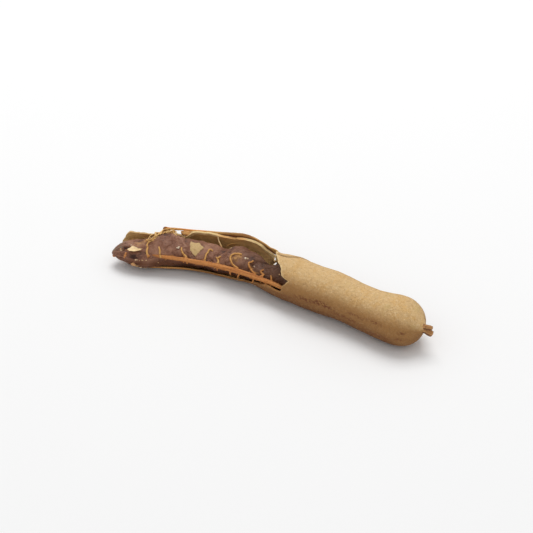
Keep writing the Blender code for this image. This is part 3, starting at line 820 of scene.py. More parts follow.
# Its roughness in mm and the long creases' wobble, as layers of (gain, size, seed); over the tip's first
# part it grows from nothing
PULP_ROUGH = ((0.34, 5.5, 30), (0.22, 2.4, 31), (0.09, 1.1, 34), (0.05, 0.55, 35))
PULP_ROUGH_FROM = 3 * MM
# The short winding creases: their depth in mm and width in the noise that they follow, how much the skin
# between them stands out in mm, that noise's layers, how it strays, and the patches where they show
WINDING_DEPTH = 0.30
WINDING_WIDTH = 0.13
WINDING_RISE = 0.08
WINDING_NOISE = ((1, 2.6, 32), (0.5, 1.3, 33))
WINDING_STRAY = ((0.5, 2.2, 33),)
WINDING_PATCHES = ((1, 4, 37),)
WINDING_SHARE = 0.75
# The folds along the tip: their height, how much of the noise is below 0, its stretch, size and seed, and
# where they end and over how many mm
TIP_FOLD_HEIGHT = 0.38
TIP_FOLD_MIDDLE = 0.4
TIP_FOLD_STRETCH = (0.22, 1, 1)
TIP_FOLD_NOISE = (1.7, 36)
TIP_FOLD_END = 9
TIP_FOLD_EASE = 7
# The long creases: how wide they are in mm, the angle that they slant about and to how many degrees their
# slant is given, and how they wobble
LONG_CREASE_WIDTH = 0.7
LONG_CREASE_TURN = 70
LONG_CREASE_SLANT = 40
LONG_CREASE_WOBBLE = (0.8, 22)
# The hollow under the front strand: its angle, depth in mm and reach, and its stretch along the pod
HOLLOW = (-28, 1.3, 20)
HOLLOW_STRETCH = (24, 10, 92, 6)
# Where the pulp is shaded by the strand, red and dark low down, and painted with a grey sheen at the tip's
# back:
# by angles from the front, and by stretches in mm, of which two run on past the pulp's end and one starts
# before its tip
SHADED_ANGLE = (-34, 1, 20)
SHADED_STRETCH = (18, 12, 160, 1)
RED_ANGLES = (-175, 60, 28, 36)
RED_STRETCH = (-1, 6, 160, 1)
GREY_ANGLES = (45, 40, 175, 40)
GREY_STRETCH = (-5, 1, 5, 5)


def pulp_wrinkles(s, angle, points):
    """
    How far the pulp stands out, in mm: soft lumps, short winding creases where a noise passes through 0,
    grain, folds drawn out along the tip, and the long creases round it.
    """
    flat = np.stack([s / MM, angle * MM_PER_DEGREE, 0 * s], axis=-1)
    winding = rough(points + MM * rough(points, WINDING_STRAY)[..., None], WINDING_NOISE)
    shows = smooth(rough(points, WINDING_PATCHES) + WINDING_SHARE)
    height = rough(points, PULP_ROUGH) + WINDING_RISE
    height = height - WINDING_DEPTH * bump(winding, 0, WINDING_WIDTH) * shows
    tip = 1 - smooth((s / MM - TIP_FOLD_END) / TIP_FOLD_EASE)
    folds = np.abs(noise(flat * TIP_FOLD_STRETCH, *TIP_FOLD_NOISE)) - TIP_FOLD_MIDDLE
    height = height + tip * TIP_FOLD_HEIGHT * folds
    gain, size = LONG_CREASE_WOBBLE
    for at, depth, slant in PULP_CREASES:
        course = at + slant * (angle - LONG_CREASE_TURN) / LONG_CREASE_SLANT
        course = course + gain * wander(angle, size, int(at))
        height = height - depth * np.exp(-np.abs(s / MM - course) / LONG_CREASE_WIDTH)
    for at, turn, reach, depth in PULP_DENTS:
        height = height - depth * spot(s, angle, at, turn, reach)
    return height - bumps(angle, (HOLLOW,)) * within(s / MM, HOLLOW_STRETCH)


def pulp_skin(s, angle, lift=0.0):
    """The wrinkled pulp's points at (s, angle), lifted off it by this many metres."""
    s, angle = np.broadcast_arrays(np.asarray(s, float), np.asarray(angle, float))
    points, normal = skin(pulp_surface, s, angle)
    height = pulp_wrinkles(s, angle, points) * smooth((s - PULP_TIP) / PULP_ROUGH_FROM) * MM
    return points + normal * (height + lift)[..., None]


def make_pulp(finish):
    """The pulp as one closed tube, with values for where it turns red or stained, or gets painted shade or
    sheen.
    """
    share = np.linspace(0, 1, PULP_ROWS + 1)[:, None]
    share = np.interp(share, [0, PULP_OPEN_ROWS, 1], [0, PULP_OPEN_LENGTH, 1])
    s = PULP_TIP + (PULP_END - PULP_TIP) * share
    s, angle = np.broadcast_arrays(s, from_front(np.linspace(0, 360, PULP_COLUMNS + 1))[None, :])
    blend = smooth((np.abs(angle) - 180 + PULP_BLEND) / PULP_BLEND)[..., None] / 2
    from_other_side = pulp_skin(s, np.where(angle < 0, angle + 360, angle - 360))
    points = pulp_skin(s, angle) * (1 - blend) + from_other_side * blend
    base, normal = skin(pulp_surface, s, angle)
    values = {
        "height": ((points - base) * normal).sum(axis=-1) / MM,
        "along": s / MM,
        "shaded": bumps(angle, (SHADED_ANGLE,)) * within(s / MM, SHADED_STRETCH),
        "low": within(angle, RED_ANGLES) * within(s / MM, RED_STRETCH),
        # grey is where the tip's back gets a painted grey sheen
        "grey": within(angle, GREY_ANGLES) * within(s / MM, GREY_STRETCH),
        "stain": np.clip(sum(spot(s, angle, *stain) for stain in STAINS), 0, 1),
    }
    values = {name: numbers.ravel() for name, numbers in values.items()}
    shape = points.reshape(-1, 3), quads(tube_index(*s.shape)), values
    add_piece("pulp_body", shape, finish, ["pulp"])


# The fibres

# The sides of a thin fibre, of the front strand, the fibres at the back rim, the tangle's and the fuzz's
FIBRE_SIDES = 14
FRONT_STRAND_SIDES = 64
RIM_FIBRE_SIDES = 28
TANGLE_SIDES = 8
FUZZ_SIDES = 6
# The steps between the rows of each of these, a side fibre's or a wall fibre's first
FIBRE_STEPS = 8
FRONT_STRAND_STEPS = 30
RIM_FIBRE_STEPS = 16
STRAND_HAIR_STEPS = 6
# Their ridges, as layers of (gain, scale along, scale round, seed): bundles, coarser knots and rough grain
STRAND_RIDGES = ((0.04, 0.25, 2.6, 40), (0.05, 0.8, 4.0, 41), (0.09, 0.5, 0.6, 42), (0.08, 2.2, 3.2, 45))
THIN_RIDGES = ((0.14, 1.1, 0.8, 43), (0.10, 0.4, 1.8, 44))
# A side fibre: how deep it is sunk in mm, its waves in mm with their size, and the degrees of slant that
# shift them by 1 mm; its foot's points, how much thicker it is and how fast that fades; and how fast it
# turns golden along itself, and how golden, from the first place along the pod to the last
SIDE_FIBRE_SINK = 0.15
SIDE_FIBRE_WAVES = (0.25, 1.3)
SIDE_FIBRE_LEAN = 9
FOOT_POINTS = 7
FOOT_GAIN = 1.1
FOOT_RATE = 1.1
GOLDEN_GROWTH = 3.5
GOLDEN_TINTS = ((58, 0.95), (66, 0.40))
STRAND_HAIR_TINT = 0.15
# The fuzz: its seed, points, radius in mm at the foot and the tip, how far in it starts in radii, its least
# and most length and lean in mm, and its tints
FUZZ_SEED = 7
FUZZ_POINTS = 5
FUZZ_RADIUS = (0.16, 0.06)
FUZZ_START = 0.8
FUZZ_LENGTHS = (0.3, 1.0)
FUZZ_LEANS = (-0.8, 0.8)
FUZZ_TINTS = (-0.3, 0.8)
# The tangle: the tint of each copy of a loose fibre, how far the dark ones lie lower in half heights as
# painted shade between the fibres, how its table is scaled and how far a copy strays off it, column by
# column, the steps between the table's rows and then between the copy's, and the step and the seeds of the
# noise that it strays by
TANGLE_TINTS = (0, 0.2, 0.4, 0.6, 1.7, 1.8)
TANGLE_SINK = 0.09
TANGLE_GAIN = (1, 1, 0.93, 0.9)
TANGLE_REACH = (1.1, 0.16, 0.14, 0.03)
TANGLE_STEPS = (4, 3)
TANGLE_STRAY_STEP = 3.5
TANGLE_SEEDS = (80, 81, 82, 83)


def strand_relief(run, turn):
    """A thick fibre's ridges."""
    return ridges(run, turn, STRAND_RIDGES)


def thin_relief(run, turn):
    """A thin fibre's uneven thickness and its few ridges."""
    return ridges(run, turn, THIN_RIDGES)


def section_fibre(rows, steps=FIBRE_STEPS, sides=FIBRE_SIDES, relief=thin_relief, tint=1.0):
    """A fibre along (mm along, half widths back, half heights up, radius in mm, and its tint or this one)."""
    s, back, up, radius, *tints = smooth_path(rows, steps).T
    return swept(in_section(s * MM, back, up), radius * MM, sides, relief, tints[0] if tints else tint)


def with_radius(rows, start, end):
    """Rows of a path with a last column for a radius that goes evenly from one end's to the other's."""
    rows = np.asarray(rows, float)
    return np.column_stack([rows, np.linspace(start, end, len(rows))])


def pulp_fibre(rows, start, end, foot=None):
    """
    A fibre over the pulp along (mm along, angle), with a radius in mm at each end, sunk in it a little. A
    foot is a point in metres that it grows out of, thicker there. It turns golden from its foot on.
    """
    s, angle, radius = smooth_path(with_radius(rows, start, end), FIBRE_STEPS).T
    wave, size = SIDE_FIBRE_WAVES
    wavy = wave * wander(s + angle / SIDE_FIBRE_LEAN, size, int(10 * rows[0][0]))
    path = pulp_skin((s + wavy) * MM, angle, (radius - SIDE_FIBRE_SINK) * MM)
    if foot is not None:
        lead = np.linspace(0, 1, FOOT_POINTS)[:-1]
        path = np.vstack([foot + (path[0] - foot) * lead[:, None], path])
        radius = np.concatenate([start * (1 + FOOT_GAIN * (1 - smooth(lead * FOOT_RATE))), radius])
    (first, most), (last, least) = GOLDEN_TINTS
    tint = most - (most - least) * smooth((rows[0][0] - first) / (last - first))
    tint = tint * smooth(np.linspace(0, GOLDEN_GROWTH, len(path)))
    return swept(path, radius * MM, FIBRE_SIDES, thin_relief, tint)


def strand_place(s):
    """The front strand's centre at s, in metres."""
    rows = np.array(FRONT_STRAND)
    back, up = (np.interp(s / MM, rows[:, 0], rows[:, column]) for column in (1, 2))
    return in_section(s, back, up)


def strand_fuzz():
    """Fine hairs off the front strand: from random places on it, out by their length and a little along."""
    draw = np.random.default_rng(FUZZ_SEED)
    rows = np.array(FRONT_STRAND)
    share = np.linspace(0, 1, FUZZ_POINTS)
    shapes = []
    for s in np.sort(draw.uniform(*FUZZ_RANGE, FUZZ_COUNT)):
        turn = draw.uniform(0, 2 * math.pi)
        length = draw.uniform(*FUZZ_LENGTHS)
        lean = draw.uniform(*FUZZ_LEANS)
        back, up, radius = (np.interp(s, rows[:, 0], rows[:, column]) for column in (1, 2, 3))
        reach = radius * FUZZ_START + length * share
        back = back * HALF_WIDTH * slimness(s * MM) + np.cos(turn) * reach * MM
        up = up * HALF_HEIGHT * slimness(s * MM) + np.sin(turn) * reach * MM
        path = place((s + lean * share**2) * MM, back, up)
        radius = np.linspace(*FUZZ_RADIUS, FUZZ_POINTS) * MM
        shapes.append(swept(path, radius, FUZZ_SIDES, None, draw.uniform(*FUZZ_TINTS)))
    return shapes


def make_front_strand(finish):
    """The thick strand, its side fibres, the hairs that tie it to the rim below it, and its fuzz."""
    shapes = [section_fibre(FRONT_STRAND, FRONT_STRAND_STEPS, FRONT_STRAND_SIDES, strand_relief)]
    for rows in SIDE_FIBRES:
        foot = strand_place(rows[0][0] * MM) if rows[0] not in FORKS else None
        shapes.append(pulp_fibre(rows, *SIDE_FIBRE_RADIUS, foot))
    for rows in STRAND_HAIRS:
        rows = with_radius(rows, *STRAND_HAIR_RADIUS)
        shapes.append(section_fibre(rows, STRAND_HAIR_STEPS, tint=STRAND_HAIR_TINT))
    shape = joined(shapes + strand_fuzz())
    add_piece("strand_front", shape, finish, ["front_strand"])


def rim_fibre(rows):
    """A fibre along (mm along, angle, share of the shell's radius, radius in mm, tint)."""
    s, angle, share, radius, tint = smooth_path(rows, RIM_FIBRE_STEPS).T
    return swept(around(s * MM, angle, share), radius * MM, RIM_FIBRE_SIDES, strand_relief, tint)


def make_back_strand(finish, lens_finish):
    """The fibre outside the back rim, the ones beside it that fray at its end, and the lens under it."""
    shapes = [rim_fibre(rows) for rows in (BACK_STRAND, *BACK_STRAND_ENDS)]
    add_piece("strand_back", joined(shapes), finish, ["back_strand"])
    add_piece("strand_lens", rim_fibre(LENS), lens_finish)


def make_tangle(finish):
    """The loose fibres between the pulp and the back rim: the table's own, and copies that stray off them."""
    shapes = []
    table_steps, steps = TANGLE_STEPS
    for number, rows in enumerate(TANGLE):
        rows = smooth_path(rows, table_steps)
        place_in_rows = np.arange(len(rows)) + 40 * number
        for copy, tint in enumerate(TANGLE_TINTS):
            seeds = [seed + 5 * copy for seed in TANGLE_SEEDS]
            off = np.stack([wander(place_in_rows, TANGLE_STRAY_STEP, seed) for seed in seeds], axis=-1)
            off = off * TANGLE_REACH * min(copy, 1) - (0, 0, TANGLE_SINK * (tint > 1), 0)
            shapes.append(section_fibre(rows * TANGLE_GAIN + off, steps, TANGLE_SIDES, tint=tint))
    replaces = ["loose_fibre_outer", "loose_fibre_inner"]
    add_piece("fibre_tangle", joined(shapes), finish, replaces)


def make_wall_fibres(finish):
    """The fibre that hangs from the rim and the one that lies on the back wall."""
    shapes = [section_fibre(rows) for rows in WALL_FIBRES]
    add_piece("fibre_wall", joined(shapes), finish, ["wall_fibre"])


# Scraps, crumbs and the stalk

# A scrap's rings and the steps between its corners, its thickness, and how ragged its outline, how curled
# its sheet and how uneven its thickness are, as layers of (gain, size, seed). It thins towards its edge.
SCRAP_RINGS = 26
SCRAP_STEPS = 26
SCRAP_THICKNESS = 0.42 * MM
SCRAP_RAGGED = ((0.05, 0.6, 50), (0.04, 0.2, 51))
SCRAP_CURL = ((0.14, 3.5, 52), (0.05, 1.2, 53))
SCRAP_UNEVEN = ((0.15, 2, 54),)
SCRAP_THINNING = 0.25
SCRAP_EDGE_ANGLE = 50
# How far each stands off the pulp in mm, in its middle and at its outline
SCRAP_LIFT_LEFT = (0.1, 0.75)
SCRAP_LIFT_MIDDLE = (0.45, 0.35)
# A crumb's grid, its thickness as a share of its smaller half length, how far it stands out of the pulp in
# thicknesses, and its roughness in shares, as layers of (gain, size, seed)
CRUMB_TURNS = 19
CRUMB_RISES = 11
CRUMB_FLATNESS = 0.7
CRUMB_LIFT = 0.2
CRUMB_ROUGH = ((0.4, 0.9, 60), (0.2, 0.4, 61))
CRUMB_EDGE_ANGLE = 40
# The stalk's sides and steps, how blunt its ends are in radii, and its wood: furrows where the first layer
# of grain passes through 0, and the other layers of (gain, scale along, scale round, seed), all sunk a
# little
STALK_SIDES = 48
STALK_STEPS = 14
STALK_BLUNTNESS = 0.45
STALK_FURROWS = (0.26, 0.2, 2.2, 70)
STALK_RIDGES = ((0.12, 0.5, 4.5, 71), (0.07, 1.8, 4.0, 72))
STALK_SUNK = 0.1
STALK_EDGE_ANGLE = 60


def make_scrap(name, node, finish, lifts):
    """
    A scrap of shell as rings from its middle to its ragged outline, each ring a share of the outline's own
    size. It stands off the pulp by its lift in mm, in its middle and at its outline.
    """
    corners = np.array(SCRAPS[node] + SCRAPS[node][:1], float)
    corner = np.arange(SCRAP_STEPS * (len(corners) - 1) + 1) / SCRAP_STEPS
    outline = np.stack([np.interp(corner, np.arange(len(corners)), part) for part in corners.T], axis=-1)
    reach = 1 + ragged(corner, SCRAP_RAGGED)
    reach[-1] = reach[0]
    middle = outline[:-1].mean(axis=0)
    share = np.linspace(0, 1, SCRAP_RINGS + 1)[:, None]
    s, angle = np.moveaxis(middle + (outline - middle) * share[..., None] * reach[:, None], -1, 0)
    centre_lift, edge_lift = lifts
    base, normal = skin(pulp_surface, s * MM, angle)
    lift = centre_lift + (edge_lift - centre_lift) * share**2 + rough(base, SCRAP_CURL)
    under = base + normal * (lift * MM)[..., None]
    thickness = SCRAP_THICKNESS * (1 + rough(base, SCRAP_UNEVEN) - SCRAP_THINNING * share**6)
    over = under + normal * thickness[..., None]
    index = np.arange(s.size).reshape(s.shape)
    index[:, -1] = index[:, 0]
    index[0] = index[0, 0]
    flat = [part.reshape(-1, 3) for part in (over, (over + under) / 2, under)]
    points, faces, layer = walled(*flat, quads(index))
    add_piece(name, (points, faces, {"layer": layer}), finish, [node], SCRAP_EDGE_ANGLE)


def make_crumbs(finish):
    """Crumbs of shell and dried pulp on the pulp: balls of noise, stretched along it and round it."""
    turn = np.linspace(0, 2 * math.pi, CRUMB_TURNS)[None, :]
    rise = np.linspace(0, math.pi, CRUMB_RISES)[:, None]
    ball = np.sin(rise) * np.cos(turn), np.sin(rise) * np.sin(turn), np.cos(rise)
    ball = np.stack(np.broadcast_arrays(*ball), axis=-1)
    shapes = []
    for number, (s, angle, along_it, round_it, tint) in enumerate(CRUMBS):
        _, normal = skin(pulp_surface, s * MM, angle)
        ahead = pulp_surface((s + 0.5) * MM, angle) - pulp_surface((s - 0.5) * MM, angle)
        ahead = ahead / np.linalg.norm(ahead)
        thick = CRUMB_FLATNESS * min(along_it, round_it)
        axes = np.array([ahead * along_it, np.cross(normal, ahead) * round_it, normal * thick])
        size = 1 + rough((ball + 3 * number) * MM, CRUMB_ROUGH)
        centre = pulp_skin(s * MM, angle, CRUMB_LIFT * thick * MM)
        points = (centre + (ball * size[..., None]) @ axes * MM).reshape(-1, 3)
        shapes.append((points, quads(tube_index(*ball.shape[:2])), {"tint": np.full(len(points), tint)}))
    add_piece("crumbs", joined(shapes), finish, sharp=CRUMB_EDGE_ANGLE)


def stalk_relief(run, turn):
    """Deep lengthwise furrows in the wood, and its rough grain."""
    depth, *scales_and_seed = STALK_FURROWS
    furrows = depth * np.abs(grain(run, turn, *scales_and_seed))
    return furrows + ridges(run, turn, STALK_RIDGES) - STALK_SUNK


def make_stalk(finish):
    """Two furrowed lobes of wood that grow out of the shell's nose."""
    shapes = []
    for lobe in STALK_LOBES:
        past, back, up, radius = smooth_path(lobe, STALK_STEPS).T
        path = in_section(LENGTH + past * MM, back, up)
        shapes.append(swept(path, radius * MM, STALK_SIDES, stalk_relief, blunt=STALK_BLUNTNESS))
    add_piece("stalk_wood", joined(shapes), finish, ["stalk"], STALK_EDGE_ANGLE)


# Materials


class Socket:
    """A node's output, on which arithmetic adds Math nodes."""

    def __init__(self, finish, socket):
        self.finish = finish
        self.socket = socket

    def math(self, operation, *values):
        """A Math node on these values or links."""
        return self.finish.node("Math", {"operation": operation}, dict(enumerate(values)))

    def __add__(self, other):
        return self.math("ADD", self, other)

    def __radd__(self, other):
        return self.math("ADD", other, self)

    def __sub__(self, other):
        return self.math("SUBTRACT", self, other)

    def __rsub__(self, other):
        return self.math("SUBTRACT", other, self)

    def __mul__(self, other):
        return self.math("MULTIPLY", self, other)

    def __rmul__(self, other):
        return self.math("MULTIPLY", other, self)


class Finish:
    """A material, made of nodes that feed one Principled shader."""

    def __init__(self, name):
        self.material = bpy.data.materials.new(name)
        self.material.use_nodes = True
        self.tree = self.material.node_tree
        self.shader = self.tree.nodes["Principled BSDF"]
        self.object_place = self.node("TexCoord", output="Object")

    def node(self, kind, settings=None, inputs=None, output=0):
        """A node of this kind: its settings first, then its sockets as values or links. Gives one output."""
        made = self.tree.nodes.new("ShaderNode" + kind)
        for name, value in (settings or {}).items():
            if name == "stops":
                set_stops(made.color_ramp, value)
            else:
                setattr(made, name, value)
        self.feed(made, inputs or {})
        return Socket(self, made.outputs[output])

    def feed(self, node, inputs):
        """Links each input that is a socket, and sets each other one to its value."""
        for name, value in inputs.items():
            if isinstance(value, Socket):
                self.tree.links.new(value.socket, node.inputs[name])
            else:
                node.inputs[name].default_value = value

    def attribute(self, name):
        """One of the mesh's own values."""
        return self.node("Attribute", {"attribute_name": name}, output="Fac")

    def noise(self, size, detail=2.0, roughness=0.5, stretch=None):
        """Noise of this size in metres over the object's coordinates, which a stretch multiplies."""
        place = self.object_place
        if stretch:
            place = self.node("Mapping", {}, {"Vector": place, "Scale": stretch})
        inputs = {"Vector": place, "Scale": 1 / size, "Detail": detail, "Roughness": roughness}
        return self.node("TexNoise", {}, inputs)

    def ramp(self, value, *stops):
        """A value turned into a colour, or a mask, by stops of (place, colour or grey)."""
        return self.node("ValToRGB", {"stops": stops}, {"Fac": value})

    def mask(self, value, low, high):
        """0 where the value is low and 1 where it is high, eased between; low may be the larger one."""
        inputs = {"Value": value, "From Min": low, "From Max": high}
        return self.node("MapRange", {"interpolation_type": "SMOOTHSTEP"}, inputs)

    def mix(self, share, first, second):
        """The first colour where the share is 0 and the second where it is 1."""
        inputs = {0: share, 6: colour(first), 7: colour(second)}
        return self.node("Mix", {"data_type": "RGBA"}, inputs, 2)

    def bump(self, *heights):
        """The normal of several (height, metres at height 1), each on the one before."""
        normal = None
        for height, distance in heights:
            inputs = {"Height": height, "Distance": distance, "Strength": 1.0}
            if normal:
                inputs["Normal"] = normal
            normal = self.node("Bump", {}, inputs)
        return normal

    def done(self, **inputs):
        """Feeds the shader, whose socket names are written with _ for a space."""
        self.feed(self.shader, {name.replace("_", " "): value for name, value in inputs.items()})
        return self.material


def colour(value):
    """Three numbers as a colour with alpha. Anything else stays as it is."""
    return (*value, 1.0) if isinstance(value, tuple) and len(value) == 3 else value


def set_stops(ramp, stops):
    """Gives a colour ramp its stops of (place, colour or grey)."""
    for _ in stops[2:]:
        ramp.elements.new(1.0)
    for element, (place_on_ramp, value) in zip(ramp.elements, stops):
        element.position = place_on_ramp
        element.color = colour(value) if isinstance(value, tuple) else (value, value, value, 1.0)


# The colours: red, green and blue in linear light

HUSK = (0.75, 0.50, 0.235)
# Painted shade on the husk: browner away from its top, and dark beneath
HUSK_FRONT_PAINTED_SHADE = (0.38, 0.19, 0.062)
HUSK_UNDER_PAINTED_SHADE = (0.165, 0.058, 0.013)
HUSK_LIGHT = (0.84, 0.62, 0.35)
HUSK_DARK = (0.32, 0.16, 0.055)
HUSK_OLIVE = (0.69, 0.475, 0.205)
LEFT_EDGE = (0.74, 0.50, 0.23)
HUSK_ORANGE = (0.74, 0.465, 0.19)
SCUFF = (0.17, 0.055, 0.018)
TORN_EDGE = (1.0, 0.74, 0.36)
TORN_ORANGE = (0.88, 0.50, 0.19)
TORN_STAIN = (0.52, 0.22, 0.06)
LOW_EDGE = (0.34, 0.15, 0.045)
LOW_EDGE_LEFT = (0.70, 0.33, 0.10)
WALL_MIDDLE = (0.56, 0.32, 0.11)
WALL_LEFT = (0.64, 0.38, 0.13)
# Painted light: the back wall lighter towards its right end
WALL_RIGHT_PAINTED_LIGHT = (1.0, 0.62, 0.25)
WALL_DARK = (0.12, 0.05, 0.016)
PULP_DARK = (0.060, 0.022, 0.014)
PULP_MIDDLE = (0.205, 0.084, 0.046)
# Mauve on the pulp's lumps: partly its own colour, partly a painted sheen
PULP_MAUVE_AND_SHEEN = (0.37, 0.185, 0.112)
PULP_DEEP = (0.070, 0.026, 0.009)
PULP_RED = (0.108, 0.030, 0.0055)
PULP_SHADED = (0.04, 0.013, 0.006)
PULP_GREY_SHEEN = (0.20, 0.165, 0.11)
STAIN = (0.55, 0.28, 0.08)
STRAND = (0.52, 0.20, 0.052)
STRAND_LIGHT = (0.66, 0.30, 0.095)
ORANGE = (0.74, 0.27, 0.045)
ORANGE_LIGHT = (0.85, 0.42, 0.12)
# A lighter copy of the orange fibre for the lens, as painted light
LENS_ORANGE_PAINTED_LIGHT = (0.98, 0.55, 0.20)
LENS_STREAK_PAINTED_LIGHT = (1.0, 0.68, 0.32)
STRAND_DARK = (0.26, 0.075, 0.018)
# The fibres' painted shade beneath
STRAND_PAINTED_SHADE = (0.34, 0.10, 0.014)
GOLDEN = (0.64, 0.36, 0.11)
GOLD = (0.95, 0.62, 0.23)
DARK_FIBRE = (0.11, 0.038, 0.014)
WOOD = (0.38, 0.17, 0.055)
WOOD_LIGHT = (0.60, 0.33, 0.13)
WOOD_DARK = (0.10, 0.035, 0.012)
CREAM = (0.95, 0.74, 0.41)
SCRAP_TAN = (0.56, 0.375, 0.175)
SCRAP_OLIVE = (0.49, 0.335, 0.14)
CRUMB = (0.86, 0.74, 0.56)
CRUMB_TAN = (0.62, 0.40, 0.19)


# The finishes: how fine a noise is, by its detail, and where each layer shows. A pair is the value where its
# mask starts and the one where it is full: of a noise, of along (mm along the pod), rim (mm from a torn
# edge), turn (degrees), under (0 on top, 1 beneath), low (1 at the lower torn edges), layer (0 outside, 1
# inside), height (mm) or streak. Noises are (size in metres, detail, roughness and, for some, stretch),
# depths are those of bumps, and a share is how much of the colour is mixed in, at most or less by so much.
SOFT = 2.0
COARSE = 3.0
GRITTY = 4.0

HUSK_MOTTLE = (6 * MM, COARSE, 0.6)
HUSK_FINE = (1.0 * MM, GRITTY, 0.75)
HUSK_GRIT = (1.3 * MM, GRITTY, 0.8)
TAN_MOTTLE = (0.36, 0.50)
OLIVE_MOTTLE = (0.52, 0.68)
OLIVE_ALONG = (80, 140)
# The husk's painted shade: where it sets in by under, how much of its dark beneath shows and how much less at
# the stalk end; the pale and dark grit follow it beneath
FRONT_PAINTED_SHADE_UNDER = (-0.02, 0.33)
PAINTED_SHADE_UNDER = (0.32, 0.78)
PAINTED_SHADE_UNDER_SHARE = 0.95
STALK_ALONG = (138, 147)
STALK_LESS_PAINTED_SHADE = 0.55
PALE_FINE = (0.51, 0.63)
PALE_SHARE = 0.60
PALE_UNDER = (0.02, 0.30)
PALE_UNDER_LESS = 0.52
DARK_GRIT = (0.49, 0.36)
DARK_GRIT_SHARE = 0.34
DARK_GRIT_UNDER = 0.6
RUBBED_GRIT = (1.1 * MM, GRITTY, 0.9)
RUBBED_MASK = (0.45, 0.53)
CREASE_SHADE_SHARE = 0.9
PALE_RIM = (0.7, 0.1)
PALE_RIM_SHARE = 0.5
PALE_RIM_LOW_LESS = 0.45

WALL_STREAKS = (2.5 * MM, COARSE, 0.6, (0.25, 1.0, 1.0))
WALL_STREAK_MASK = (0.60, 0.35)
WALL_STREAK_SHARE = 0.25
WALL_MIDDLE_ALONG = (10, 24)
# Where the wall's painted light sets in
WALL_RIGHT_ALONG = (47, 60)
WALL_END_ALONG = (65, 69.5)
WALL_END_TURN = (183, 192)
WALL_END_SHARE = 0.85
WALL_STAINS = (5 * MM, SOFT, 0.5)
WALL_STAIN_MASK = (0.48, 0.60)
WALL_STAIN_RIM = (2.6, 1.2)
WALL_STAIN_SHARE = 0.8
LEFT_ALONG = (21, 14)
LEFT_LESS_PALE = 0.8
LEFT_SHARE = 0.9
ORANGE_FROM = (41, 45)
ORANGE_UP_TO = (58, 54)
ORANGE_LESS_PALE = 0.4
TORN_RIM = (2.1, 1.2)
LOW_LEFT_ALONG = (42, 26)
LOW_SHARE = 0.95
EDGE_STAINS = (3 * MM,)
EDGE_STAIN_MASK = (0.50, 0.62)
EDGE_STAIN_SHARE = 0.6
SKIN_TO_EDGE = (0.02, 0.12)
EDGE_TO_WALL = (0.88, 0.99)
BUMP_MASK = (0.3, 0.7)
HUSK_FINE_DEPTH = 0.09 * MM
HUSK_GRIT_DEPTH = 0.22 * MM
HUSK_ROUGHNESS = 0.85
WALL_SMOOTHER = 0.20
SMOOTHER_LAYER = (0.9, 1.0)
MATT_SPECULAR = 0.3

PULP_PATCHES = (5 * MM, COARSE, 0.6)
PULP_PATCH_MASK = (0.30, 0.46)
PULP_MAUVE_NOISE = (2.6 * MM, COARSE, 0.6)
PULP_MAUVE_MASK = (0.31, 0.55)
PULP_MAUVE_AND_SHEEN_HEIGHT = (-0.25, 0.45)
PULP_MAUVE_SHARE = 0.9
# Heights in mm at which the pulp's creases are painted near black as shade
PULP_CREASE_SHADE_HEIGHT = (-0.2, -0.8)
PULP_FINE = (0.9 * MM, GRITTY, 0.75)
PULP_FINE_MASK = (0.47, 0.33)
PULP_FINE_SHARE = 0.65
DEEP_ALONG = (42, 82)
DEEP_SHARE = 0.86
RED_PATCH_MASK = (0.45, 0.6)
RED_PATCH_LESS = 0.15
STAIN_MASK = (0.36, 0.56)
STAIN_SHARE = 0.85
# How the painted grey sheen at the tip shows
GREY_MASK = (0.36, 0.52)
GREY_SHARE = 0.85
SHADED_MASK = (0.4, 1.0)
SHADED_SHARE = 0.8
WET_NOISE = (3 * MM, SOFT, 0.5)
WET_MASK = (0.42, 0.62)
PULP_ROUGHNESS = 0.66
WET_SMOOTHER = 0.22
PULP_GRAIN = (1.5 * MM, COARSE, 0.6)
PULP_GRAIN_DEPTH = 0.34 * MM
PULP_FINE_DEPTH = 0.26 * MM
PULP_SPECULAR = 0.35

LIGHT_STREAK = (0.0, 0.6)
LIGHT_SHARE = 0.5
LIGHT_LESS_BY_TINT = 0.35
DARK_STREAK = (-0.15, -0.6)
DARK_STREAK_SHARE = 0.55
FIBRE_GRAIN = (0.9 * MM, COARSE, 0.7)
FIBRE_GRAIN_MASK = (0.46, 0.32)
FIBRE_GRAIN_SHARE = 0.6
# Where a fibre's underside takes painted shade, by under, and how much of it shows
FIBRE_PAINTED_SHADE_UNDER = (0.30, 0.80)
FIBRE_PAINTED_SHADE_SHARE = 0.6
FIBRE_FINE = (0.4 * MM,)
FIBRE_GRAIN_DEPTH = 0.16 * MM
FIBRE_FINE_DEPTH = 0.06 * MM
FIBRE_ROUGHNESS = 0.75

SCRAP_FINE = (0.9 * MM, COARSE, 0.65)
SCRAP_FINE_MASK = (0.40, 0.62)
SCRAP_SPOTS = (3 * MM,)
SCRAP_SPOT_MASK = (0.42, 0.30)
SCRAP_SPOT_SHARE = 0.5
SCRAP_EDGE_LAYER = (0.05, 0.4)
SCRAP_ROUGHNESS = 0.8
SCRAP_DEPTH = 0.08 * MM
CRUMB_STOPS = ((0.0, CRUMB), (0.45, CRUMB_TAN), (0.75, STRAND), (1.0, DARK_FIBRE))
CRUMB_GRAIN = (0.7 * MM,)
CRUMB_GRAIN_MASK = (0.50, 0.36)
CRUMB_GRAIN_SHARE = 0.6
CRUMB_FINE = (0.4 * MM,)
CRUMB_DEPTH = 0.08 * MM

WOOD_LIGHT_STREAK = (-0.2, 0.5)
WOOD_DARK_STREAK = (-0.05, -0.45)
WOOD_SPOTS = (1.4 * MM, COARSE, 0.6)
WOOD_SPOT_MASK = (0.48, 0.34)
WOOD_SPOT_SHARE = 0.6
WOOD_FINE = (0.6 * MM, COARSE, 0.7)
WOOD_DEPTH = 0.12 * MM


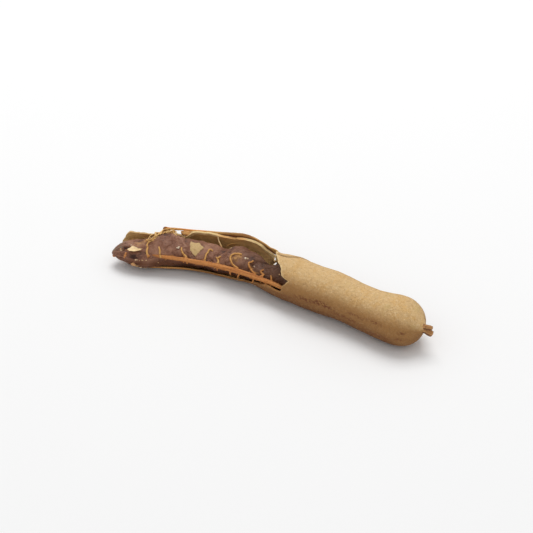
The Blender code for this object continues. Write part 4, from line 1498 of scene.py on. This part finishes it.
def husk_skin(f, fine, grit):
    """Mottled tan with pale and dark grit, rubbed at its scuffs; painted shade makes it browner and dark
    beneath.
    """
    under, along_it = f.attribute("under"), f.attribute("along")
    mottle = f.noise(*HUSK_MOTTLE)
    husk = f.mix(f.mask(mottle, *TAN_MOTTLE), HUSK_ORANGE, HUSK)
    husk = f.mix(f.mask(mottle, *OLIVE_MOTTLE) * f.mask(along_it, *OLIVE_ALONG), husk, HUSK_OLIVE)
    # Painted shade: browner away from the top and dark beneath, less so at the stalk end, with fewer pale and
    # more dark grains beneath
    husk = f.mix(f.mask(under, *FRONT_PAINTED_SHADE_UNDER), husk, HUSK_FRONT_PAINTED_SHADE)
    painted_shade = PAINTED_SHADE_UNDER_SHARE - STALK_LESS_PAINTED_SHADE * f.mask(along_it, *STALK_ALONG)
    husk = f.mix(f.mask(under, *PAINTED_SHADE_UNDER) * painted_shade, husk, HUSK_UNDER_PAINTED_SHADE)
    pale = PALE_SHARE - PALE_UNDER_LESS * f.mask(under, *PALE_UNDER)
    husk = f.mix(f.mask(fine, *PALE_FINE) * pale, husk, HUSK_LIGHT)
    dark = DARK_GRIT_SHARE + DARK_GRIT_UNDER * under
    husk = f.mix(f.mask(grit, *DARK_GRIT) * dark, husk, HUSK_DARK)
    husk = f.mix(f.attribute("scuff") * f.mask(f.noise(*RUBBED_GRIT), *RUBBED_MASK), husk, SCUFF)
    # Painted shade along the crease's groove, in the scuffs' dark colour
    husk = f.mix(f.attribute("fold") * CREASE_SHADE_SHARE, husk, SCUFF)
    pale = PALE_RIM_SHARE - PALE_RIM_LOW_LESS * f.attribute("low")
    return f.mix(f.mask(f.attribute("rim"), *PALE_RIM) * pale, husk, TORN_EDGE)


def husk_wall(f, torn, left, orange):
    """The inner wall: streaked brown, painted lighter to the right, darker where it ends, paler at the torn
    edge, stained.
    """
    along_it, rim = f.attribute("along"), f.attribute("rim")
    wall = f.mix(f.mask(along_it, *WALL_MIDDLE_ALONG), WALL_LEFT, WALL_MIDDLE)
    # Painted light: lighter towards the right end
    wall = f.mix(f.mask(along_it, *WALL_RIGHT_ALONG), wall, WALL_RIGHT_PAINTED_LIGHT)
    wall = f.mix(f.mask(f.noise(*WALL_STREAKS), *WALL_STREAK_MASK) * WALL_STREAK_SHARE, wall, WALL_DARK)
    end = f.mask(along_it, *WALL_END_ALONG) * f.mask(f.attribute("turn"), *WALL_END_TURN)
    wall = f.mix(end * WALL_END_SHARE, wall, WALL_DARK)
    stains = f.mask(f.noise(*WALL_STAINS), *WALL_STAIN_MASK)
    wall = f.mix(f.mask(rim, *WALL_STAIN_RIM) * stains * WALL_STAIN_SHARE, wall, TORN_STAIN)
    pale = (1 - left * LEFT_LESS_PALE) * (1 - f.attribute("low")) * (1 - ORANGE_LESS_PALE * orange)
    return f.mix(f.mask(rim, *TORN_RIM) * pale, wall, torn)


def husk_edge(f, torn, left):
    """The torn face round the wall: cream or orange, and brown and stained at the lower edges."""
    low = f.attribute("low")
    low_colour = f.mix(f.mask(f.attribute("along"), *LOW_LEFT_ALONG), LOW_EDGE, LOW_EDGE_LEFT)
    edge = f.mix(left * LEFT_SHARE, torn, LEFT_EDGE)
    edge = f.mix(f.mask(low, 0.0, 1.0) * LOW_SHARE, edge, low_colour)
    stains = f.mask(f.noise(*EDGE_STAINS), *EDGE_STAIN_MASK)
    return f.mix(stains * low * EDGE_STAIN_SHARE, edge, TORN_STAIN)


def husk_finish():
    """Matt tan skin with fine cream and brown grit, cream torn edges and a smooth olive-brown inner wall."""
    f = Finish("husk")
    along_it, layer = f.attribute("along"), f.attribute("layer")
    fine, grit = f.noise(*HUSK_FINE), f.noise(*HUSK_GRIT)
    left = f.mask(along_it, *LEFT_ALONG)
    orange = f.mask(along_it, *ORANGE_FROM) * f.mask(along_it, *ORANGE_UP_TO)
    torn = f.mix(orange, TORN_EDGE, TORN_ORANGE)
    outside = f.mix(f.mask(layer, *SKIN_TO_EDGE), husk_skin(f, fine, grit), husk_edge(f, torn, left))
    husk = f.mix(f.mask(layer, *EDGE_TO_WALL), outside, husk_wall(f, torn, left, orange))
    bumps_of_grit = (f.mask(grit, *BUMP_MASK), HUSK_GRIT_DEPTH), (f.mask(fine, *BUMP_MASK), HUSK_FINE_DEPTH)
    roughness = HUSK_ROUGHNESS - WALL_SMOOTHER * f.mask(layer, *SMOOTHER_LAYER)
    normal = f.bump(*bumps_of_grit)
    return f.done(Base_Color=husk, Roughness=roughness, Normal=normal, Specular_IOR_Level=MATT_SPECULAR)


def pulp_finish():
    """Sticky red-brown satin flesh: painted shade near black in its creases, mauve and painted sheen on its
    lumps.
    """
    f = Finish("pulp")
    height = f.attribute("height")
    patches, fine = f.noise(*PULP_PATCHES), f.noise(*PULP_FINE)
    flesh = f.mix(f.mask(patches, *PULP_PATCH_MASK), PULP_DARK, PULP_MIDDLE)
    # Mauve where the pulp stands out, partly its own colour and partly painted sheen
    mauve = f.mask(height, *PULP_MAUVE_AND_SHEEN_HEIGHT) * f.mask(f.noise(*PULP_MAUVE_NOISE), *PULP_MAUVE_MASK)
    flesh = f.mix(mauve * PULP_MAUVE_SHARE, flesh, PULP_MAUVE_AND_SHEEN)
    # Painted shade: near black down in the creases
    flesh = f.mix(f.mask(height, *PULP_CREASE_SHADE_HEIGHT), flesh, PULP_DARK)
    flesh = f.mix(f.mask(fine, *PULP_FINE_MASK) * PULP_FINE_SHARE, flesh, PULP_DARK)
    flesh = f.mix(f.mask(f.attribute("along"), *DEEP_ALONG) * DEEP_SHARE, flesh, PULP_DEEP)
    red = f.attribute("low") * (1.0 - RED_PATCH_LESS * f.mask(patches, *RED_PATCH_MASK))
    flesh = f.mix(red, flesh, PULP_RED)
    flesh = f.mix(f.attribute("stain") * f.mask(fine, *STAIN_MASK) * STAIN_SHARE, flesh, STAIN)
    # Painted grey sheen at the tip's back
    flesh = f.mix(f.attribute("grey") * f.mask(patches, *GREY_MASK) * GREY_SHARE, flesh, PULP_GREY_SHEEN)
    flesh = f.mix(f.mask(f.attribute("shaded"), *SHADED_MASK) * SHADED_SHARE, flesh, PULP_SHADED)
    roughness = PULP_ROUGHNESS - WET_SMOOTHER * f.mask(f.noise(*WET_NOISE), *WET_MASK)
    normal = f.bump((f.noise(*PULP_GRAIN), PULP_GRAIN_DEPTH), (fine, PULP_FINE_DEPTH))
    return f.done(Base_Color=flesh, Roughness=roughness, Normal=normal, Specular_IOR_Level=PULP_SPECULAR)


def fibre_finish(name, main=STRAND, light=STRAND_LIGHT):
    """Fibre in its main colour where its tint is 0, golden or dark elsewhere, streaked, with rough grain."""
    f = Finish(name)
    tint, streak = f.attribute("tint"), f.attribute("streak")
    stops = (0.0, DARK_FIBRE), (1 / 3, main), (2 / 3, GOLDEN), (1.0, DARK_FIBRE)
    fibre = f.ramp((tint + 1) * (1 / 3), *stops)
    light_share = LIGHT_SHARE - LIGHT_LESS_BY_TINT * tint
    fibre = f.mix(f.mask(streak, *LIGHT_STREAK) * light_share, fibre, light)
    fibre = f.mix(f.mask(streak, *DARK_STREAK) * DARK_STREAK_SHARE, fibre, STRAND_DARK)
    grainy = f.noise(*FIBRE_GRAIN)
    fibre = f.mix(f.mask(grainy, *FIBRE_GRAIN_MASK) * FIBRE_GRAIN_SHARE, fibre, STRAND_DARK)
    # Painted shade on the fibre's underside
    fibre = f.mix(f.mask(f.attribute("under"), *FIBRE_PAINTED_SHADE_UNDER) * FIBRE_PAINTED_SHADE_SHARE, fibre, STRAND_PAINTED_SHADE)
    normal = f.bump((grainy, FIBRE_GRAIN_DEPTH), (f.noise(*FIBRE_FINE), FIBRE_FINE_DEPTH))
    settings = {"Roughness": FIBRE_ROUGHNESS, "Specular_IOR_Level": MATT_SPECULAR}
    return f.done(Base_Color=fibre, Normal=normal, **settings)


def scrap_finish(name, light, dark):
    """A scrap of husk, speckled on top and paler on its broken edge."""
    f = Finish(name)
    fine = f.noise(*SCRAP_FINE)
    top = f.mix(f.mask(fine, *SCRAP_FINE_MASK), dark, light)
    top = f.mix(f.mask(f.noise(*SCRAP_SPOTS), *SCRAP_SPOT_MASK) * SCRAP_SPOT_SHARE, top, HUSK_DARK)
    scrap = f.mix(f.mask(f.attribute("layer"), *SCRAP_EDGE_LAYER), top, TORN_EDGE)
    return f.done(Base_Color=scrap, Roughness=SCRAP_ROUGHNESS, Normal=f.bump((fine, SCRAP_DEPTH)))


def crumb_finish():
    """Crumbs from cream to dark brown."""
    f = Finish("crumb")
    crumb = f.ramp(f.attribute("tint"), *CRUMB_STOPS)
    crumb = f.mix(f.mask(f.noise(*CRUMB_GRAIN), *CRUMB_GRAIN_MASK) * CRUMB_GRAIN_SHARE, crumb, STRAND_DARK)
    normal = f.bump((f.noise(*CRUMB_FINE), CRUMB_DEPTH))
    return f.done(Base_Color=crumb, Roughness=FIBRE_ROUGHNESS, Normal=normal)


def wood_finish():
    """Furrowed wood, streaked light and dark along it, with dark spots."""
    f = Finish("stalk_wood")
    streak = f.attribute("streak")
    wood = f.mix(f.mask(streak, *WOOD_LIGHT_STREAK), WOOD, WOOD_LIGHT)
    wood = f.mix(f.mask(streak, *WOOD_DARK_STREAK), wood, WOOD_DARK)
    wood = f.mix(f.mask(f.noise(*WOOD_SPOTS), *WOOD_SPOT_MASK) * WOOD_SPOT_SHARE, wood, WOOD_DARK)
    normal = f.bump((f.noise(*WOOD_FINE), WOOD_DEPTH))
    return f.done(Base_Color=wood, Roughness=SCRAP_ROUGHNESS, Normal=normal)


# The stage

FLOOR_RADIUS = 3.0
FLOOR_SIDES = 96
FLOOR_COLOUR = (0.90, 0.90, 0.90)
FLOOR_SHINE = {"Roughness": 0.9, "Specular_IOR_Level": 0.1}
KEY_AZIMUTH = -155
KEY_ELEVATION = 68
KEY_DISTANCE = 1.4
KEY_SIZE = 0.9
KEY_POWER = 9.8
SKY_STRENGTH = 0.66


def add_floor():
    """A wide pale disc under the pod."""
    bpy.ops.mesh.primitive_circle_add(vertices=FLOOR_SIDES, radius=FLOOR_RADIUS, fill_type="NGON")
    floor = bpy.context.object
    floor.name = "floor"
    f = Finish("pale_floor")
    floor.data.materials.append(f.done(Base_Color=colour(FLOOR_COLOUR), **FLOOR_SHINE))


def add_light(name, azimuth, elevation, distance, size, power):
    """A square soft light that looks at the pod's middle from this far away."""
    light = bpy.data.lights.new(name, "AREA")
    light.size = size
    light.energy = power
    lamp = bpy.data.objects.new(name, light)
    bpy.context.scene.collection.objects.link(lamp)
    towards = direction(azimuth, elevation)
    lamp.location = towards * distance
    lamp.rotation_euler = towards.to_track_quat("Z", "Y").to_euler()


def direction(azimuth, elevation):
    """The way to something at this azimuth, which is 0 at the front and 90 at the right, and elevation."""
    a, e = math.radians(azimuth), math.radians(elevation)
    return Vector((math.sin(a) * math.cos(e), -math.cos(a) * math.cos(e), math.sin(e)))


def add_camera():
    """A long lens, turned to the chord's middle and shifted."""
    lens = bpy.data.cameras.new("camera")
    lens.lens = CAMERA_LENS
    lens.shift_x, lens.shift_y = CAMERA_SHIFT
    lens.clip_start = CAMERA_CLIP
    camera = bpy.data.objects.new("camera", lens)
    bpy.context.scene.collection.objects.link(camera)
    back = direction(CAMERA_AZIMUTH, CAMERA_ELEVATION)
    aim = Vector((*CHORD_MIDDLE, AIM_HEIGHT - SETTLE))
    camera.location = aim + back * CAMERA_DISTANCE
    camera.rotation_euler = back.to_track_quat("Z", "Y").to_euler()
    bpy.context.scene.camera = camera


def add_stage():
    """The floor, the one soft light, the white sky and the camera."""
    add_floor()
    add_light("key", KEY_AZIMUTH, KEY_ELEVATION, KEY_DISTANCE, KEY_SIZE, KEY_POWER)
    world = bpy.data.worlds.new("studio")
    world.use_nodes = True
    background = world.node_tree.nodes["Background"]
    background.inputs["Color"].default_value = (1.0, 1.0, 1.0, 1.0)
    background.inputs["Strength"].default_value = SKY_STRENGTH
    bpy.context.scene.world = world
    bpy.context.scene.view_settings.view_transform = "Standard"
    add_camera()


def main():
    """Makes every piece with its finish, and the stage."""
    make_shell(husk_finish())
    make_pulp(pulp_finish())
    make_front_strand(fibre_finish("strand"))
    # The lens's orange is painted lighter than the other orange fibre, as painted light
    lens_finish = fibre_finish("lens_fibre_painted_light", LENS_ORANGE_PAINTED_LIGHT, LENS_STREAK_PAINTED_LIGHT)
    make_back_strand(fibre_finish("orange_fibre", ORANGE, ORANGE_LIGHT), lens_finish)
    make_tangle(fibre_finish("golden_fibre", GOLD, CREAM))
    make_wall_fibres(fibre_finish("cream_fibre", CREAM, CREAM))
    cream = scrap_finish("scrap_cream", CREAM, HUSK_LIGHT)
    make_scrap("scrap_left", "shell_scrap_left", cream, SCRAP_LIFT_LEFT)
    tan = scrap_finish("scrap_tan", SCRAP_TAN, SCRAP_OLIVE)
    make_scrap("scrap_middle", "shell_scrap_middle", tan, SCRAP_LIFT_MIDDLE)
    make_crumbs(crumb_finish())
    make_stalk(wood_finish())
    add_stage()


main()
